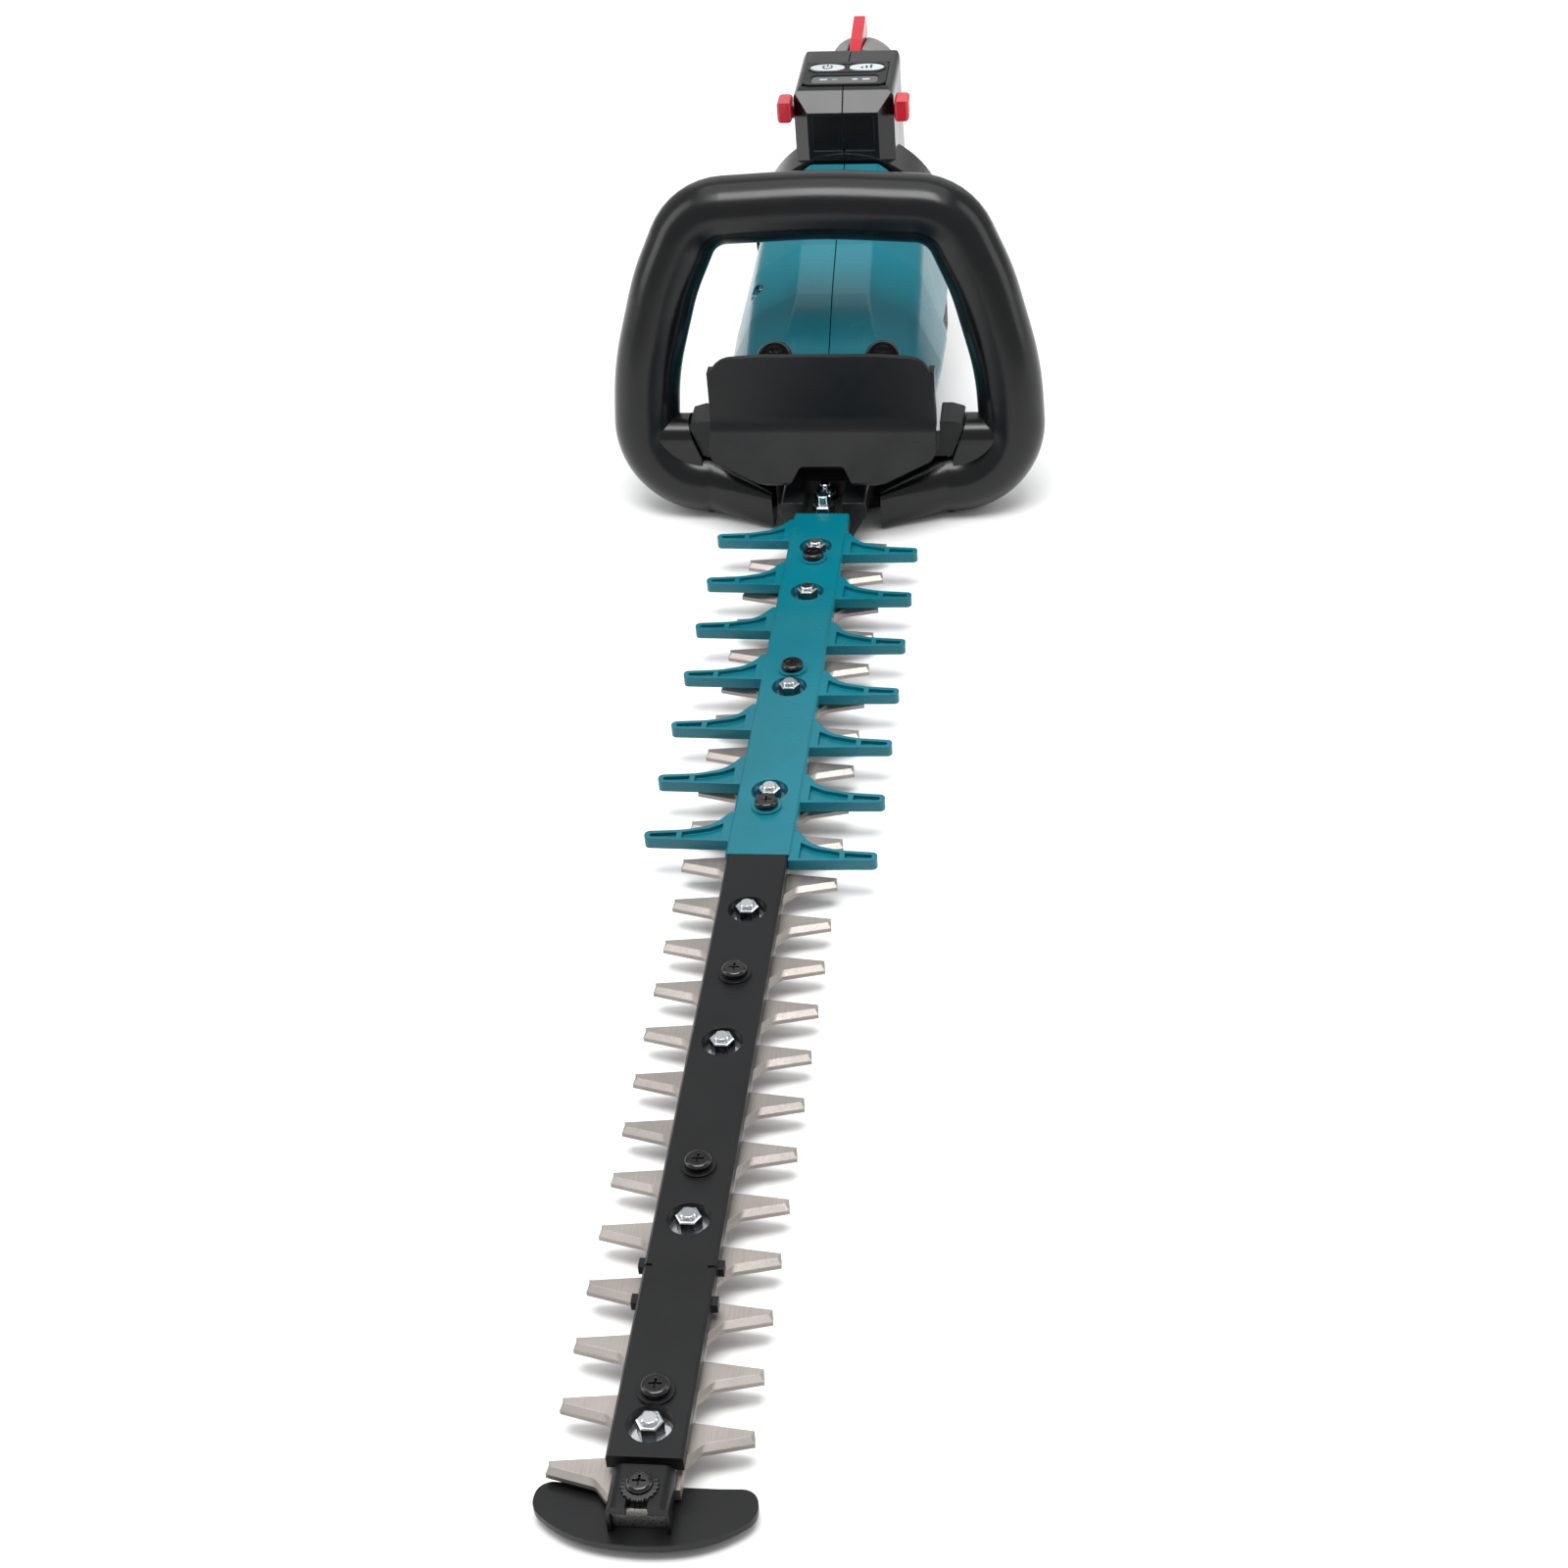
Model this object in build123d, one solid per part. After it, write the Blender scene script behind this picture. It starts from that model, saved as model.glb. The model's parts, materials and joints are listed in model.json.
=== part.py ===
from build123d import *
import os
from math import cos, pi, radians, sin

# Cordless hedge trimmer with two reciprocating blades, a front loop handle and a rear handle
# that turns about the tool's long axis. Millimetres, +Z up, -Y towards the blade tip.
#
# Everything is drawn with Y = 0 at the first left tooth and Z = 0 on the blade cover's top.
# save() then shifts it, so that the origin is below the middle of the whole tool.
FRONT_Y = -26.0
REAR_Y = 1004.0
FLOOR_Z = -21.5

# Cutter bar: a steel guide bar over two toothed blades that move in opposite directions.
TOOTH_PITCH = 27.0
TEETH_PER_SIDE = 22
RIGHT_OFFSET = 0.589 * TOOTH_PITCH
TOOTH_REACH = 34.2
SPINE_HALF = 12.0
SPINE_FRONT = -7.4
BLADE_THICK = 2.5
UPPER_Z = (-11.6, -9.1)
LOWER_Z = (-14.2, -11.7)
BAR_Z = (-9.0, -6.0)
BAR_HALF = 10.0
BAR_END_Y = 651.0
STROKE = 7.0
NUT_YS = (12.2, 106.2, 201.3, 282.8, 364.6, 445.1, 526.6, 568.2)
SCREW_YS = (26.0, 133.0, 241.2, 353.0, 459.0, 556.8)
ROOT_BOLT_YS = (607.8, 620.0)
SHOULDER_R = 4.0
SLOT_WIDTH = 8.6

# Blade covers: a plain one in front, and one with guard fingers near the handle.
COVER_THICK = 6.0
COVER_HALF = 13.0
COMB_HALF = 14.0
COVER_FRONT = -1.7
COVER_SPLIT = 319.4
COMB_END = 600.0
FINGER_PITCH = 40.9
FINGERS_PER_SIDE = 7
FINGER_REACH = 51.1
FIRST_FINGER_Y = 332.9
FINGER_RIGHT_OFFSET = -0.313 * FINGER_PITCH

# Drive: an upright motor turns a pinion, the crank gear and two opposed eccentrics.
CRANK_Y = 686.0
MODULE = 1.5
GEAR_TEETH = 36
PINION_TEETH = 12
MOTOR_Y = CRANK_Y + MODULE * (GEAR_TEETH + PINION_TEETH) / 2
CAM_R = 13.0
GEAR_Z = (-6.5, 0.5)
CASE_TOP = 12.0
CASE_SPLIT = -15.0
CASE_HALF = (32.0, 46.0)
CASE_FRONT = 605.0
CASE_SCREWS = [(x, CRANK_Y + y) for x in (-28.9, 28.9) for y in (-32.0, 0.0, 32.0)]
MOTOR_SCREWS = [(x, MOTOR_Y + y) for x in (-15.0, 15.0) for y in (-9.0, 9.0)]
BASE_SCREWS = [(x, y) for x in (-26.5, 26.5) for y in (652.0, 700.0)]

# Front loop handle: a round tube in a plane that leans back.
LOOP_Y = 645.0
LOOP_LEAN = 10.0
TUBE_R = 17.0
LEG_START_X = 62.0
LEG_END_X = 28.0
LOOP_SCREWS = [(x, y) for x in (-62.5, 62.5) for y in (640.0, 650.0)]

# Guard plate in front of the motor housing.
GUARD_HALF = 58.0
GUARD_TOP = 76.0
GUARD_Y = 624.0
GUARD_THICK = 3.0

# Motor housing: y, top, top facet half-width, shoulder (x, z), widest (x, z), foot (x, z), rounding.
HOUSING_SECTIONS = (
    (632.0, 36.0, 34.0, (45.0, 31.0), (50.0, 24.0), (48.0, 17.0), 0.3),
    (672.0, 56.5, 24.0, (43.0, 47.0), (54.5, 30.0), (51.0, 17.0), 0.7),
    (698.0, 74.0, 18.5, (43.0, 61.0), (56.5, 32.0), (52.0, 15.0), 1.0),
    (728.0, 87.6, 18.5, (43.5, 72.0), (57.0, 33.0), (51.0, 4.0), 1.0),
    (787.4, 106.6, 18.5, (42.0, 88.0), (54.5, 42.0), (42.0, 9.0), 1.0),
)
WALL = 2.5
SEAM = 0.5
HOUSING_REAR = 787.4
HOUSING_SCREWS = ((655.0, 27.0), (716.0, 66.0), (759.0, 89.0))
VENT_Y = (733.0, 773.0)
VENT_Z = (18.0, 40.0)

# Rear handle, which turns about a horizontal axis.
TURN_Z = 60.0
TURN_DISC_R = 51.5
HANDLE_FRONT = 789.8
NECK_HALF = 27.0
NECK_TOP = 145.0
DISC_REAR = 820.0
GRIP_HALF = 15.0
GRIP_ROUND = 12.0
CAVITY_HALF = 8.6
HUB_R = 30.0
HANDLE_SCREWS = ((843.0, 112.0), (966.0, 82.0), (900.0, 10.0), (986.0, 24.0))
TRIGGER_PIVOT = (876.0, 101.5)
LEVER_PIVOT = (872.0, 128.0)
PIN_HALF = 12.4
BUTTON_XS = (-10.7, 10.7)
BUTTON_Y = 826.4

# Side profiles of the rear handle as (y, z) or (y, z, corner radius).
D_OUTER = [
    (815, 22.0), (866, 3.0, 30), (912, -10.0, 20), (994, -10.0, 6), (1001, 30.0, 30), (996, 62.0, 25),
    (974, 94.0, 30), (940, 115.0, 60), (905, 131.5, 60), (868, 139.0, 20), (815, 143.0),
]
D_GAP = [
    (858, 66, 10), (868, 42, 10), (886, 27, 10), (962, 22, 10), (974, 34, 7), (968, 58, 14), (948, 80, 20),
    (915, 97, 30), (872, 102, 10),
]
GRIP_CAVITY = [
    (840, 106), (840, 138), (868, 135), (905, 127.5), (937, 111.5), (971, 89), (991, 60), (995.5, 32), (993, 12),
    (981, 12), (979.5, 36), (973, 61), (951, 85), (915, 101.5), (872, 106),
]
LINK_CAVITY = [(830, 30), (866, 12), (900, 3), (985, 3), (985, 16), (887, 21), (866, 36), (848, 60), (830, 60)]
NECK = [
    (790, 30.0), (790, 134.5), (799, 143.8, 1), (806, NECK_TOP), (852, NECK_TOP, 5), (862, 139.0, 5),
    (862, 105.0), (848, 96.0), (848, 30.0),
]

# Battery shoe under the back of the rear handle, open to the rear.
SHOE_HALF = 26.0
SHOE_Y = (905.0, REAR_Y - 0.5)
SHOE_TOP = 3.0
CHANNEL_HALF = 21.0
CHANNEL_FRONT = 922.0
CHANNEL_TOP = -6.5


def box(x, y, z):
    """Box between three (low, high) pairs."""
    size = [high - low for low, high in (x, y, z)]
    middle = [(high + low) / 2 for low, high in (x, y, z)]
    return Pos(*middle) * Box(*size)


def rod(axis, at, radius, low, high):
    """Cylinder along an axis; at gives its other two coordinates in X, Y, Z order."""
    turn = {"X": Rot(0, 90, 0), "Y": Rot(-90, 0, 0), "Z": Rot(0, 0, 0)}[axis]
    place = {"X": (0, at[0], at[1]), "Y": (at[0], 0, at[1]), "Z": (at[0], at[1], 0)}[axis]
    upright = Pos(0, 0, (low + high) / 2) * Cylinder(radius, high - low)
    return Pos(*place) * turn * upright


def tube(axis, at, outer, inner, low, high):
    """Ring or sleeve along an axis."""
    return rod(axis, at, outer, low, high) - rod(axis, at, inner, low - 1, high + 1)


def hexagon(at, across_flats, low, high):
    """Upright hexagonal prism."""
    shape = extrude(RegularPolygon(across_flats / 2, 6, major_radius=False), high - low)
    return Pos(at[0], at[1], low) * shape


def outline(points):
    """Flat face through (u, v) or (u, v, corner radius) points."""
    radii = [point[2] if len(point) > 2 else 0 for point in points]
    corners = [(point[0], point[1]) for point in points]
    return make_face(FilletPolyline(*corners, radius=radii, close=True))


def inset_outline(points, inset):
    """Outline moved inwards by a wall thickness."""
    face = outline(points)
    return offset(face, amount=-inset, kind=Kind.INTERSECTION) if inset else face


def plan(points, low, high):
    """XY outline, from one height to another."""
    return Pos(0, 0, low) * extrude(outline(points), high - low)


def side(points, low, high, inset=0):
    """YZ outline, from one X to another."""
    return extrude(Plane.YZ.offset(low) * inset_outline(points, inset), high - low)


def front(points, low, high):
    """XZ outline, from one Y to another."""
    return extrude(Plane.XZ.offset(-high) * outline(points), high - low)


def mirrored(points):
    """Right half of an outline, with its mirror image about u = 0 added."""
    return points + [(-point[0], *point[1:]) for point in reversed(points)]


def both_sides(shape):
    """The shape and its mirror image across the middle plane."""
    return [shape, mirror(shape, about=Plane.YZ)]


def group(shapes):
    """Several loose solids as one node."""
    return Compound([solid for shape in shapes for solid in shape.solids()])


def soften(shape, axis, radius):
    """Rounds the rim of every flat end that faces along an axis."""
    ends = shape.faces().filter_by(axis)
    return fillet([edge for end in ends for edge in end.edges()], radius)


def slot_cut(y, travel, z):
    """Lengthwise slot for a shoulder bolt at y."""
    length = SLOT_WIDTH + 2 * travel + 1
    face = Rot(0, 0, 90) * SlotOverall(length, SLOT_WIDTH)
    return Pos(0, y, z[0] - 1) * extrude(face, z[1] - z[0] + 2)


# ---------------------------------------------------------------- cutter bar


def tooth(y, sign, z, bevel_up):
    """One blade tooth with a straight back edge and a ground bevel along its front edge."""
    root = SPINE_HALF - 1
    back = [(root, 5.0), (TOOTH_REACH - 0.5, 2.4)]
    full = outline(back + [(TOOTH_REACH, -1.8), (16.5, -6.4, 4.0), (SPINE_HALF, -12.0), (root, -12.0)])
    ground = outline(back + [(TOOTH_REACH - 1.6, 0.2), (17.5, -3.6, 4.0), (SPINE_HALF, -9.5), (root, -9.5)])
    land = 0.9
    flat = extrude(full, land)
    bevelled = loft([Pos(0, 0, land) * full, Pos(0, 0, BLADE_THICK) * ground], ruled=True)
    shape = flat + bevelled
    if not bevel_up:
        shape = Pos(0, 0, BLADE_THICK) * mirror(shape, about=Plane.XY)
    if sign < 0:
        shape = mirror(shape, about=Plane.YZ)
    return Pos(0, y, z[0]) * shape


def blade(z, bevel_up):
    """Toothed blade whose rear yoke has an oversize window around its eccentric."""
    window_x = CAM_R + STROKE + 0.6
    window_y = CAM_R + 2 * STROKE + 0.6
    yoke_x = window_x + 4.4
    yoke_y = window_y + 6.4
    thick = z[1] - z[0]
    spine = box((-SPINE_HALF, SPINE_HALF), (SPINE_FRONT, CRANK_Y - window_y - 1), z)
    yoke = Pos(0, CRANK_Y, z[0]) * extrude(RectangleRounded(2 * yoke_x, 2 * yoke_y, 8), thick)
    teeth = []
    for number in range(TEETH_PER_SIDE):
        teeth.append(tooth(number * TOOTH_PITCH, -1, z, bevel_up))
        teeth.append(tooth(number * TOOTH_PITCH + RIGHT_OFFSET, 1, z, bevel_up))
    body = (spine + yoke).fuse(*teeth)
    cuts = [slot_cut(y, STROKE, z) for y in NUT_YS]
    cuts.append(box((-SLOT_WIDTH / 2, SLOT_WIDTH / 2), (595.0, 631.0), (z[0] - 1, z[1] + 1)))
    window = RectangleRounded(2 * window_x, 2 * window_y, 5)
    cuts.append(Pos(0, CRANK_Y, z[0] - 1) * extrude(window, thick + 2))
    return body.cut(*cuts)


def guide_bar():
    """Long steel bar with a bent nose and a narrow tongue that locates the tip guard."""
    bar = box((-BAR_HALF, BAR_HALF), (-15.0, BAR_END_Y), BAR_Z)
    nose = box((-9.0, 9.0), (-18.2, -15.0), (-14.9, BAR_Z[1]))
    tongue = box((-5.0, 5.0), (-18.2, -15.0), (-18.0, -14.9))
    bar = bar + nose + tongue
    for y in NUT_YS + ROOT_BOLT_YS:
        bar -= rod("Z", (0, y), 3.05, -10, -5)
    for y in SCREW_YS + (-12.0,):
        bar -= rod("Z", (0, y), 2.0, -10, -5)
    return bar


def cover_shell(half, low, high):
    """Channel-shaped cover with a solid land under each nut hole and screw."""
    top = Pos(0, (low + high) / 2, -COVER_THICK) * extrude(Rectangle(2 * half, high - low), COVER_THICK)
    top = chamfer(top.faces().sort_by(Axis.Z)[-1].edges().filter_by(Axis.Y), 0.9)
    features = sorted(y for y in NUT_YS + SCREW_YS if low < y < high)
    edges = [low + 2] + [y + step for y in features for step in (-11.0, 11.0)] + [high - 2]
    for start, end in zip(edges[0::2], edges[1::2]):
        if end - start > 6:
            top -= box((2 - half, half - 2), (start, end), (-COVER_THICK - 1, -2.4))
    bosses = [rod("Z", (0, y), 6.6, -1, 1.2) for y in features if y in SCREW_YS]
    holes = [rod("Z", (0, y), 8.0, -COVER_THICK - 1, 3) for y in features if y in NUT_YS]
    holes += [rod("Z", (0, y), 2.25, -COVER_THICK - 1, 3) for y in features if y in SCREW_YS]
    return top.fuse(*bosses).cut(*holes)


def blade_cover_front():
    """Plain blade cover with two pairs of side tabs and two small notches."""
    cover = cover_shell(COVER_HALF, COVER_FRONT, COVER_SPLIT - 0.1)
    for y in (69.0, 86.0):
        tab = box((COVER_HALF - 1, COVER_HALF + 2.4), (y - 2.2, y + 2.2), (-5.6, -1.8))
        cover = cover.fuse(*both_sides(tab))
    notch = box((COVER_HALF - 3.0, COVER_HALF + 1), (82.6, 84.0), (-1.0, 1))
    return cover.cut(*both_sides(notch))


def finger(y, sign):
    """Tapered guard finger with a raised rim, two channels and a cross rib."""
    root = COMB_HALF - 0.8
    edge = [(root, -3.6), (FINGER_REACH - 0.2, -2.7, 2.4), (FINGER_REACH - 0.2, 2.7, 2.4)]
    edge += [(34.0, 4.0, 30.0), (22.0, 7.6, 14.0), (root + 2.2, 17.0), (root, 17.0)]
    shape = plan(edge, -COVER_THICK, -0.8)
    outer_channel = [(37.0, -1.4), (48.6, -1.1, 0.9), (48.6, 1.1, 0.9), (37.0, 2.2)]
    inner_channel = [(17.5, -1.8), (34.6, -1.6), (34.6, 2.4), (23.5, 5.2, 8.0), (17.5, 8.8)]
    for channel in (outer_channel, inner_channel):
        shape -= plan(channel, -2.8, 1.0)
    if sign < 0:
        shape = mirror(shape, about=Plane.YZ)
    return Pos(0, y, 0) * shape


def blade_cover_comb():
    """Blade cover with a row of guard fingers on each side."""
    cover = cover_shell(COMB_HALF, COVER_SPLIT + 0.1, COMB_END)
    fingers = []
    for number in range(FINGERS_PER_SIDE):
        y = FIRST_FINGER_Y + number * FINGER_PITCH
        fingers.append(finger(y, -1))
        fingers.append(finger(y + FINGER_RIGHT_OFFSET, 1))
    return cover.fuse(*fingers)


def blade_bolt(y):
    """Shoulder bolt on which both blades slide, threaded for a nut above the bar."""
    shape = rod("Z", (0, y), 7.0, -16.9, -14.4) + rod("Z", (0, y), SHOULDER_R, -14.4, -9.0)
    shape += rod("Z", (0, y), 3.0, -9.0, 3.4)
    stud_top = shape.faces().sort_by(Axis.Z)[-1]
    shape = chamfer(stud_top.edges(), 0.5)
    socket = hexagon((0, y), 5.0, -17.5, -15.2)
    return shape - socket


def flange_nut(y, base):
    """Hexagon nut with a round flange."""
    flange = Pos(0, y, base + 0.7) * Cylinder(6.9, 1.4)
    crown = hexagon((0, y), 8.4, base + 1.0, base + 8.0)
    crown = chamfer(crown.faces().sort_by(Axis.Z)[-1].edges(), 0.5)
    return flange + crown - rod("Z", (0, y), 3.02, base - 1, base + 9)


def plain_nut(y, base):
    """Tall hexagon nut without a flange."""
    nut = hexagon((0, y), 10.0, base, base + 7.5)
    nut = chamfer(nut.faces().sort_by(Axis.Z)[-1].edges(), 0.6)
    return nut - rod("Z", (0, y), 3.02, base - 1, base + 9)


def cross_recess(y, top, depth):
    """Cross-shaped driver recess, as a solid to cut away."""
    bars = box((-2.3, 2.3), (y - 0.45, y + 0.45), (top - depth, top + 1))
    return bars + box((-0.45, 0.45), (y - 2.3, y + 2.3), (top - depth, top + 1))


def pan_screw(y, seat, head_r, shank_r, tip):
    """Upright pan-head screw whose head rests at the seat height."""
    head = Pos(0, y, seat + 1.5) * Cylinder(head_r, 3.0)
    head = fillet(head.faces().sort_by(Axis.Z)[-1].edges(), 1.4)
    shank = rod("Z", (0, y), shank_r, tip, seat + 0.5)
    return head + shank - cross_recess(y, seat + 3.0, 1.6)


def tip_guard():
    """Flat D-shaped guard plate with a convex front edge."""
    half = 38.0
    right = [(0, -26.0), (12.0, -25.4, 60), (27.0, -21.5, 40), (half, -12.0, 8), (half - 1, -1.0, 6)]
    right += [(24.0, -1.6), (0, -1.6)]
    edge = [(x, y, *r) for x, y, *r in right[:-1]] + [(0, -1.6)]
    half_plate = plan(edge, -18.0, -15.0)
    plate = half_plate + mirror(half_plate, about=Plane.YZ)
    slot = box((-5.1, 5.1), (-18.4, -14.8), (-19, -14))
    return plate - slot


def tip_bracket():
    """Saddle over the bar's nose with two front legs that stand on the tip guard."""
    profile = [(10.6, -15.0), (10.6, -2.0, 4.2)]
    arch = front(mirrored(profile), -20.6, -3.0)
    arch -= box((-10.2, 10.2), (-15.2, -2.0), (-16, BAR_Z[1] + 0.05))
    arch -= box((-9.2, 9.2), (-21, -14.9), (-16, BAR_Z[1] + 0.05))
    arch -= box((-13, 13), (-15.2, -2.0), (-16, BAR_Z[0]))
    arch -= box((-3.6, 3.6), (-21, -15.5), (-7, 0))
    return arch - rod("Z", (0, -12.0), 2.1, -8, 0)


# ---------------------------------------------------------------- drive


def spur_gear(teeth, phase, bore, z):
    """Spur gear about the Z axis with straight-flanked teeth and generous backlash."""
    pitch_r = MODULE * teeth / 2
    root_r = pitch_r - 1.2 * MODULE
    tip_r = pitch_r + 0.75 * MODULE
    step = 2 * pi / teeth
    corners = []
    for number in range(teeth):
        middle = phase + number * step
        for radius, shift in ((root_r, -0.30), (tip_r, -0.14), (tip_r, 0.14), (root_r, 0.30)):
            angle = middle + shift * step
            corners.append((radius * cos(angle), radius * sin(angle)))
    wheel = plan(corners, *z)
    return wheel - rod("Z", (0, 0), bore, z[0] - 1, z[1] + 1)


def crank_gear():
    """Large gear on the crankshaft, with three lightening holes."""
    gear = spur_gear(GEAR_TEETH, 0, 6.0, GEAR_Z)
    for number in range(6):
        angle = number * pi / 3
        gear -= rod("Z", (15.5 * cos(angle), 15.5 * sin(angle)), 4.2, GEAR_Z[0] - 1, GEAR_Z[1] + 1)
    return Pos(0, CRANK_Y, 0) * gear


def crankshaft():
    """Shaft with two eccentrics on opposite sides, one for each blade."""
    shaft = rod("Z", (0, 0), 6.0, -9.0, GEAR_Z[1]) + rod("Z", (0, 0), 9.0, -9.0, GEAR_Z[0])
    shaft += rod("Z", (0, 0), 5.7, -14.1, -8.0)
    shaft += rod("Z", (STROKE, 0), CAM_R, -11.5, -9.2)
    shaft += rod("Z", (-STROKE, 0), CAM_R, -14.1, -11.8)
    shaft += rod("Z", (0, 0), 4.95, -19.0, 9.0)
    return Pos(0, CRANK_Y, 0) * shaft


def bearing(at, outer, inner, z):
    """Ball bearing drawn as its two races and the cage between them."""
    gap = (outer - inner) / 3
    ring = tube("Z", at, outer, outer - gap, *z) + tube("Z", at, inner + gap, inner, *z)
    middle = (z[0] + z[1]) / 2
    return ring + tube("Z", at, outer - gap + 0.1, inner + gap - 0.1, middle - 1, middle + 1)


def case_block(low, high):
    """Rounded block around the gears and yokes."""
    width, length = (2 * half for half in CASE_HALF)
    return Pos(0, CRANK_Y, low) * extrude(RectangleRounded(width, length, 14), high - low)


def gear_case_upper():
    """Cast case around the gears and yokes, with a nose that clamps the guide bar."""
    block = case_block(CASE_SPLIT, CASE_TOP)
    nose_front = mirrored([(15.5, CASE_SPLIT), (22.0, -4.0, 2), (22.0, 3.0, 2)])
    case = block + front(nose_front, CASE_FRONT, CRANK_Y - 36)
    cuts = [
        Pos(0, CRANK_Y, CASE_SPLIT - 1) * extrude(RectangleRounded(51.2, 84.6, 9), 7.5),
        rod("Z", (0, CRANK_Y), 28.8, -9, 2.5),
        rod("Z", (0, MOTOR_Y), 10.8, -9, 2.5),
        rod("Z", (0, CRANK_Y), 11.0, 2.0, 9.4),
        rod("Z", (0, MOTOR_Y), 8.0, 2.0, CASE_TOP + 1),
        box((-12.7, 12.7), (CASE_FRONT - 1, CRANK_Y - 38), (-16, BAR_Z[0])),
        box((-10.05, 10.05), (CASE_FRONT - 1, BAR_END_Y + 0.1), (BAR_Z[0] - 0.1, BAR_Z[1])),
        box((-10.05, 10.05), (CASE_FRONT - 1, 627.0), (BAR_Z[1] - 0.1, 5)),
    ]
    cuts += [rod("Z", at, 1.5, CASE_SPLIT - 1, -6) for at in CASE_SCREWS]
    cuts += [rod("Z", at, 1.95, 4, CASE_TOP + 1) for at in BASE_SCREWS]
    return case.cut(*cuts)


def gear_case_lower():
    """Bottom plate of the gear case, with its nose under the blade root."""
    nose_front = mirrored([(13.0, -20.5, 1.5), (15.4, CASE_SPLIT - 0.1)])
    block = case_block(-20.5, CASE_SPLIT - 0.1) + front(nose_front, CASE_FRONT, CRANK_Y - 36)
    cuts = [rod("Z", (0, CRANK_Y), 8.0, -19.4, -14)]
    cuts += [rod("Z", at, 1.6, -21, -14) for at in CASE_SCREWS]
    cuts += [rod("Z", at, 2.8, -21, -18.5) for at in CASE_SCREWS]
    cuts += [rod("Z", (0, y), 3.05, -21, -14) for y in ROOT_BOLT_YS]
    cuts += [rod("Z", (0, y), 5.1, -21, -17.0) for y in ROOT_BOLT_YS]
    return block.cut(*cuts)


def case_screw(at):
    """Screw that holds the bottom plate, with its head sunk in it."""
    return rod("Z", at, 2.7, -20.4, -18.5) + rod("Z", at, 1.45, -18.5, -7.0)


def root_bolt(y):
    """Bolt through the gear case nose, the slots of both blades and the guide bar."""
    shape = rod("Z", (0, y), 5.0, -20.4, -17.0) + rod("Z", (0, y), 3.0, -17.0, 6.6)
    return chamfer(shape.faces().sort_by(Axis.Z)[-1].edges(), 0.5)


def motor_mount():
    """Base plate with the upright tube that carries the stator and the shaft bearings."""
    plate = rod("Z", (0, MOTOR_Y), 25.0, 16.6, 19.6)
    stem = tube("Z", (0, MOTOR_Y), 8.0, 6.0, 18.0, 44.0)
    mount = plate + stem - rod("Z", (0, MOTOR_Y), 6.0, 16, 22)
    cuts = [rod("Z", at, 2.1, 16, 21) for at in MOTOR_SCREWS]
    cuts += [rod("Z", at, 3.6, 17.6, 21) for at in MOTOR_SCREWS]
    return mount.cut(*cuts)


def stator():
    """Stator ring with nine slotted poles."""
    poles = 9
    core = tube("Z", (0, 0), 12.5, 8.02, 23.0, 43.0)
    for number in range(poles):
        angle = 360 * number / poles
        pole = box((12.0, 21.0), (-2.6, 2.6), (23.0, 43.0))
        shoe = box((19.6, 21.6), (-5.6, 5.6), (23.0, 43.0))
        core += Rot(0, 0, angle) * (pole + shoe)
    return Pos(0, MOTOR_Y, 0) * core


def windings():
    """Copper coils around the stator poles."""
    poles = 9
    coils = []
    for number in range(poles):
        outer = box((13.4, 19.2), (-4.0, 4.0), (21.6, 44.4))
        inner = box((13, 20), (-2.7, 2.7), (22.9, 43.1))
        wedge = Rot(0, 0, 360 * number / poles) * (outer - inner)
        coils.append(Pos(0, MOTOR_Y, 0) * wedge)
    return group(coils)


def rotor_can():
    """Outer rotor bell that turns around the stator."""
    bell = tube("Z", (0, MOTOR_Y), 25.5, 22.6, 22.0, 47.0)
    lid = rod("Z", (0, MOTOR_Y), 25.5, 47.0, 49.0)
    return bell + lid - rod("Z", (0, MOTOR_Y), 3.01, 45, 50)


def motor_shaft():
    """Rotor shaft with the pinion cut into its lower end."""
    pinion = spur_gear(PINION_TEETH, pi / PINION_TEETH, 2.0, GEAR_Z)
    shaft = rod("Z", (0, 0), 3.0, GEAR_Z[0], 56.0)
    return Pos(0, MOTOR_Y, 0) * (pinion + shaft)


def cooling_fan():
    """Radial fan on top of the rotor."""
    fan = rod("Z", (0, 0), 23.0, 49.2, 50.6) + rod("Z", (0, 0), 6.0, 49.2, 55.0)
    for number in range(11):
        vane = box((5.0, 22.4), (-0.6, 0.6), (50.0, 54.4))
        fan += Rot(0, 0, 360 * number / 11) * vane
    return Pos(0, MOTOR_Y, 0) * (fan - rod("Z", (0, 0), 3.02, 48, 56))


# ---------------------------------------------------------------- front handle and guard


def loop_plane():
    """Leaning plane of the loop: local y runs up the handle."""
    lean = radians(LOOP_LEAN)
    return Plane(origin=(0, LOOP_Y, 0), x_dir=(1, 0, 0), z_dir=(0, -cos(lean), sin(lean)))


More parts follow.
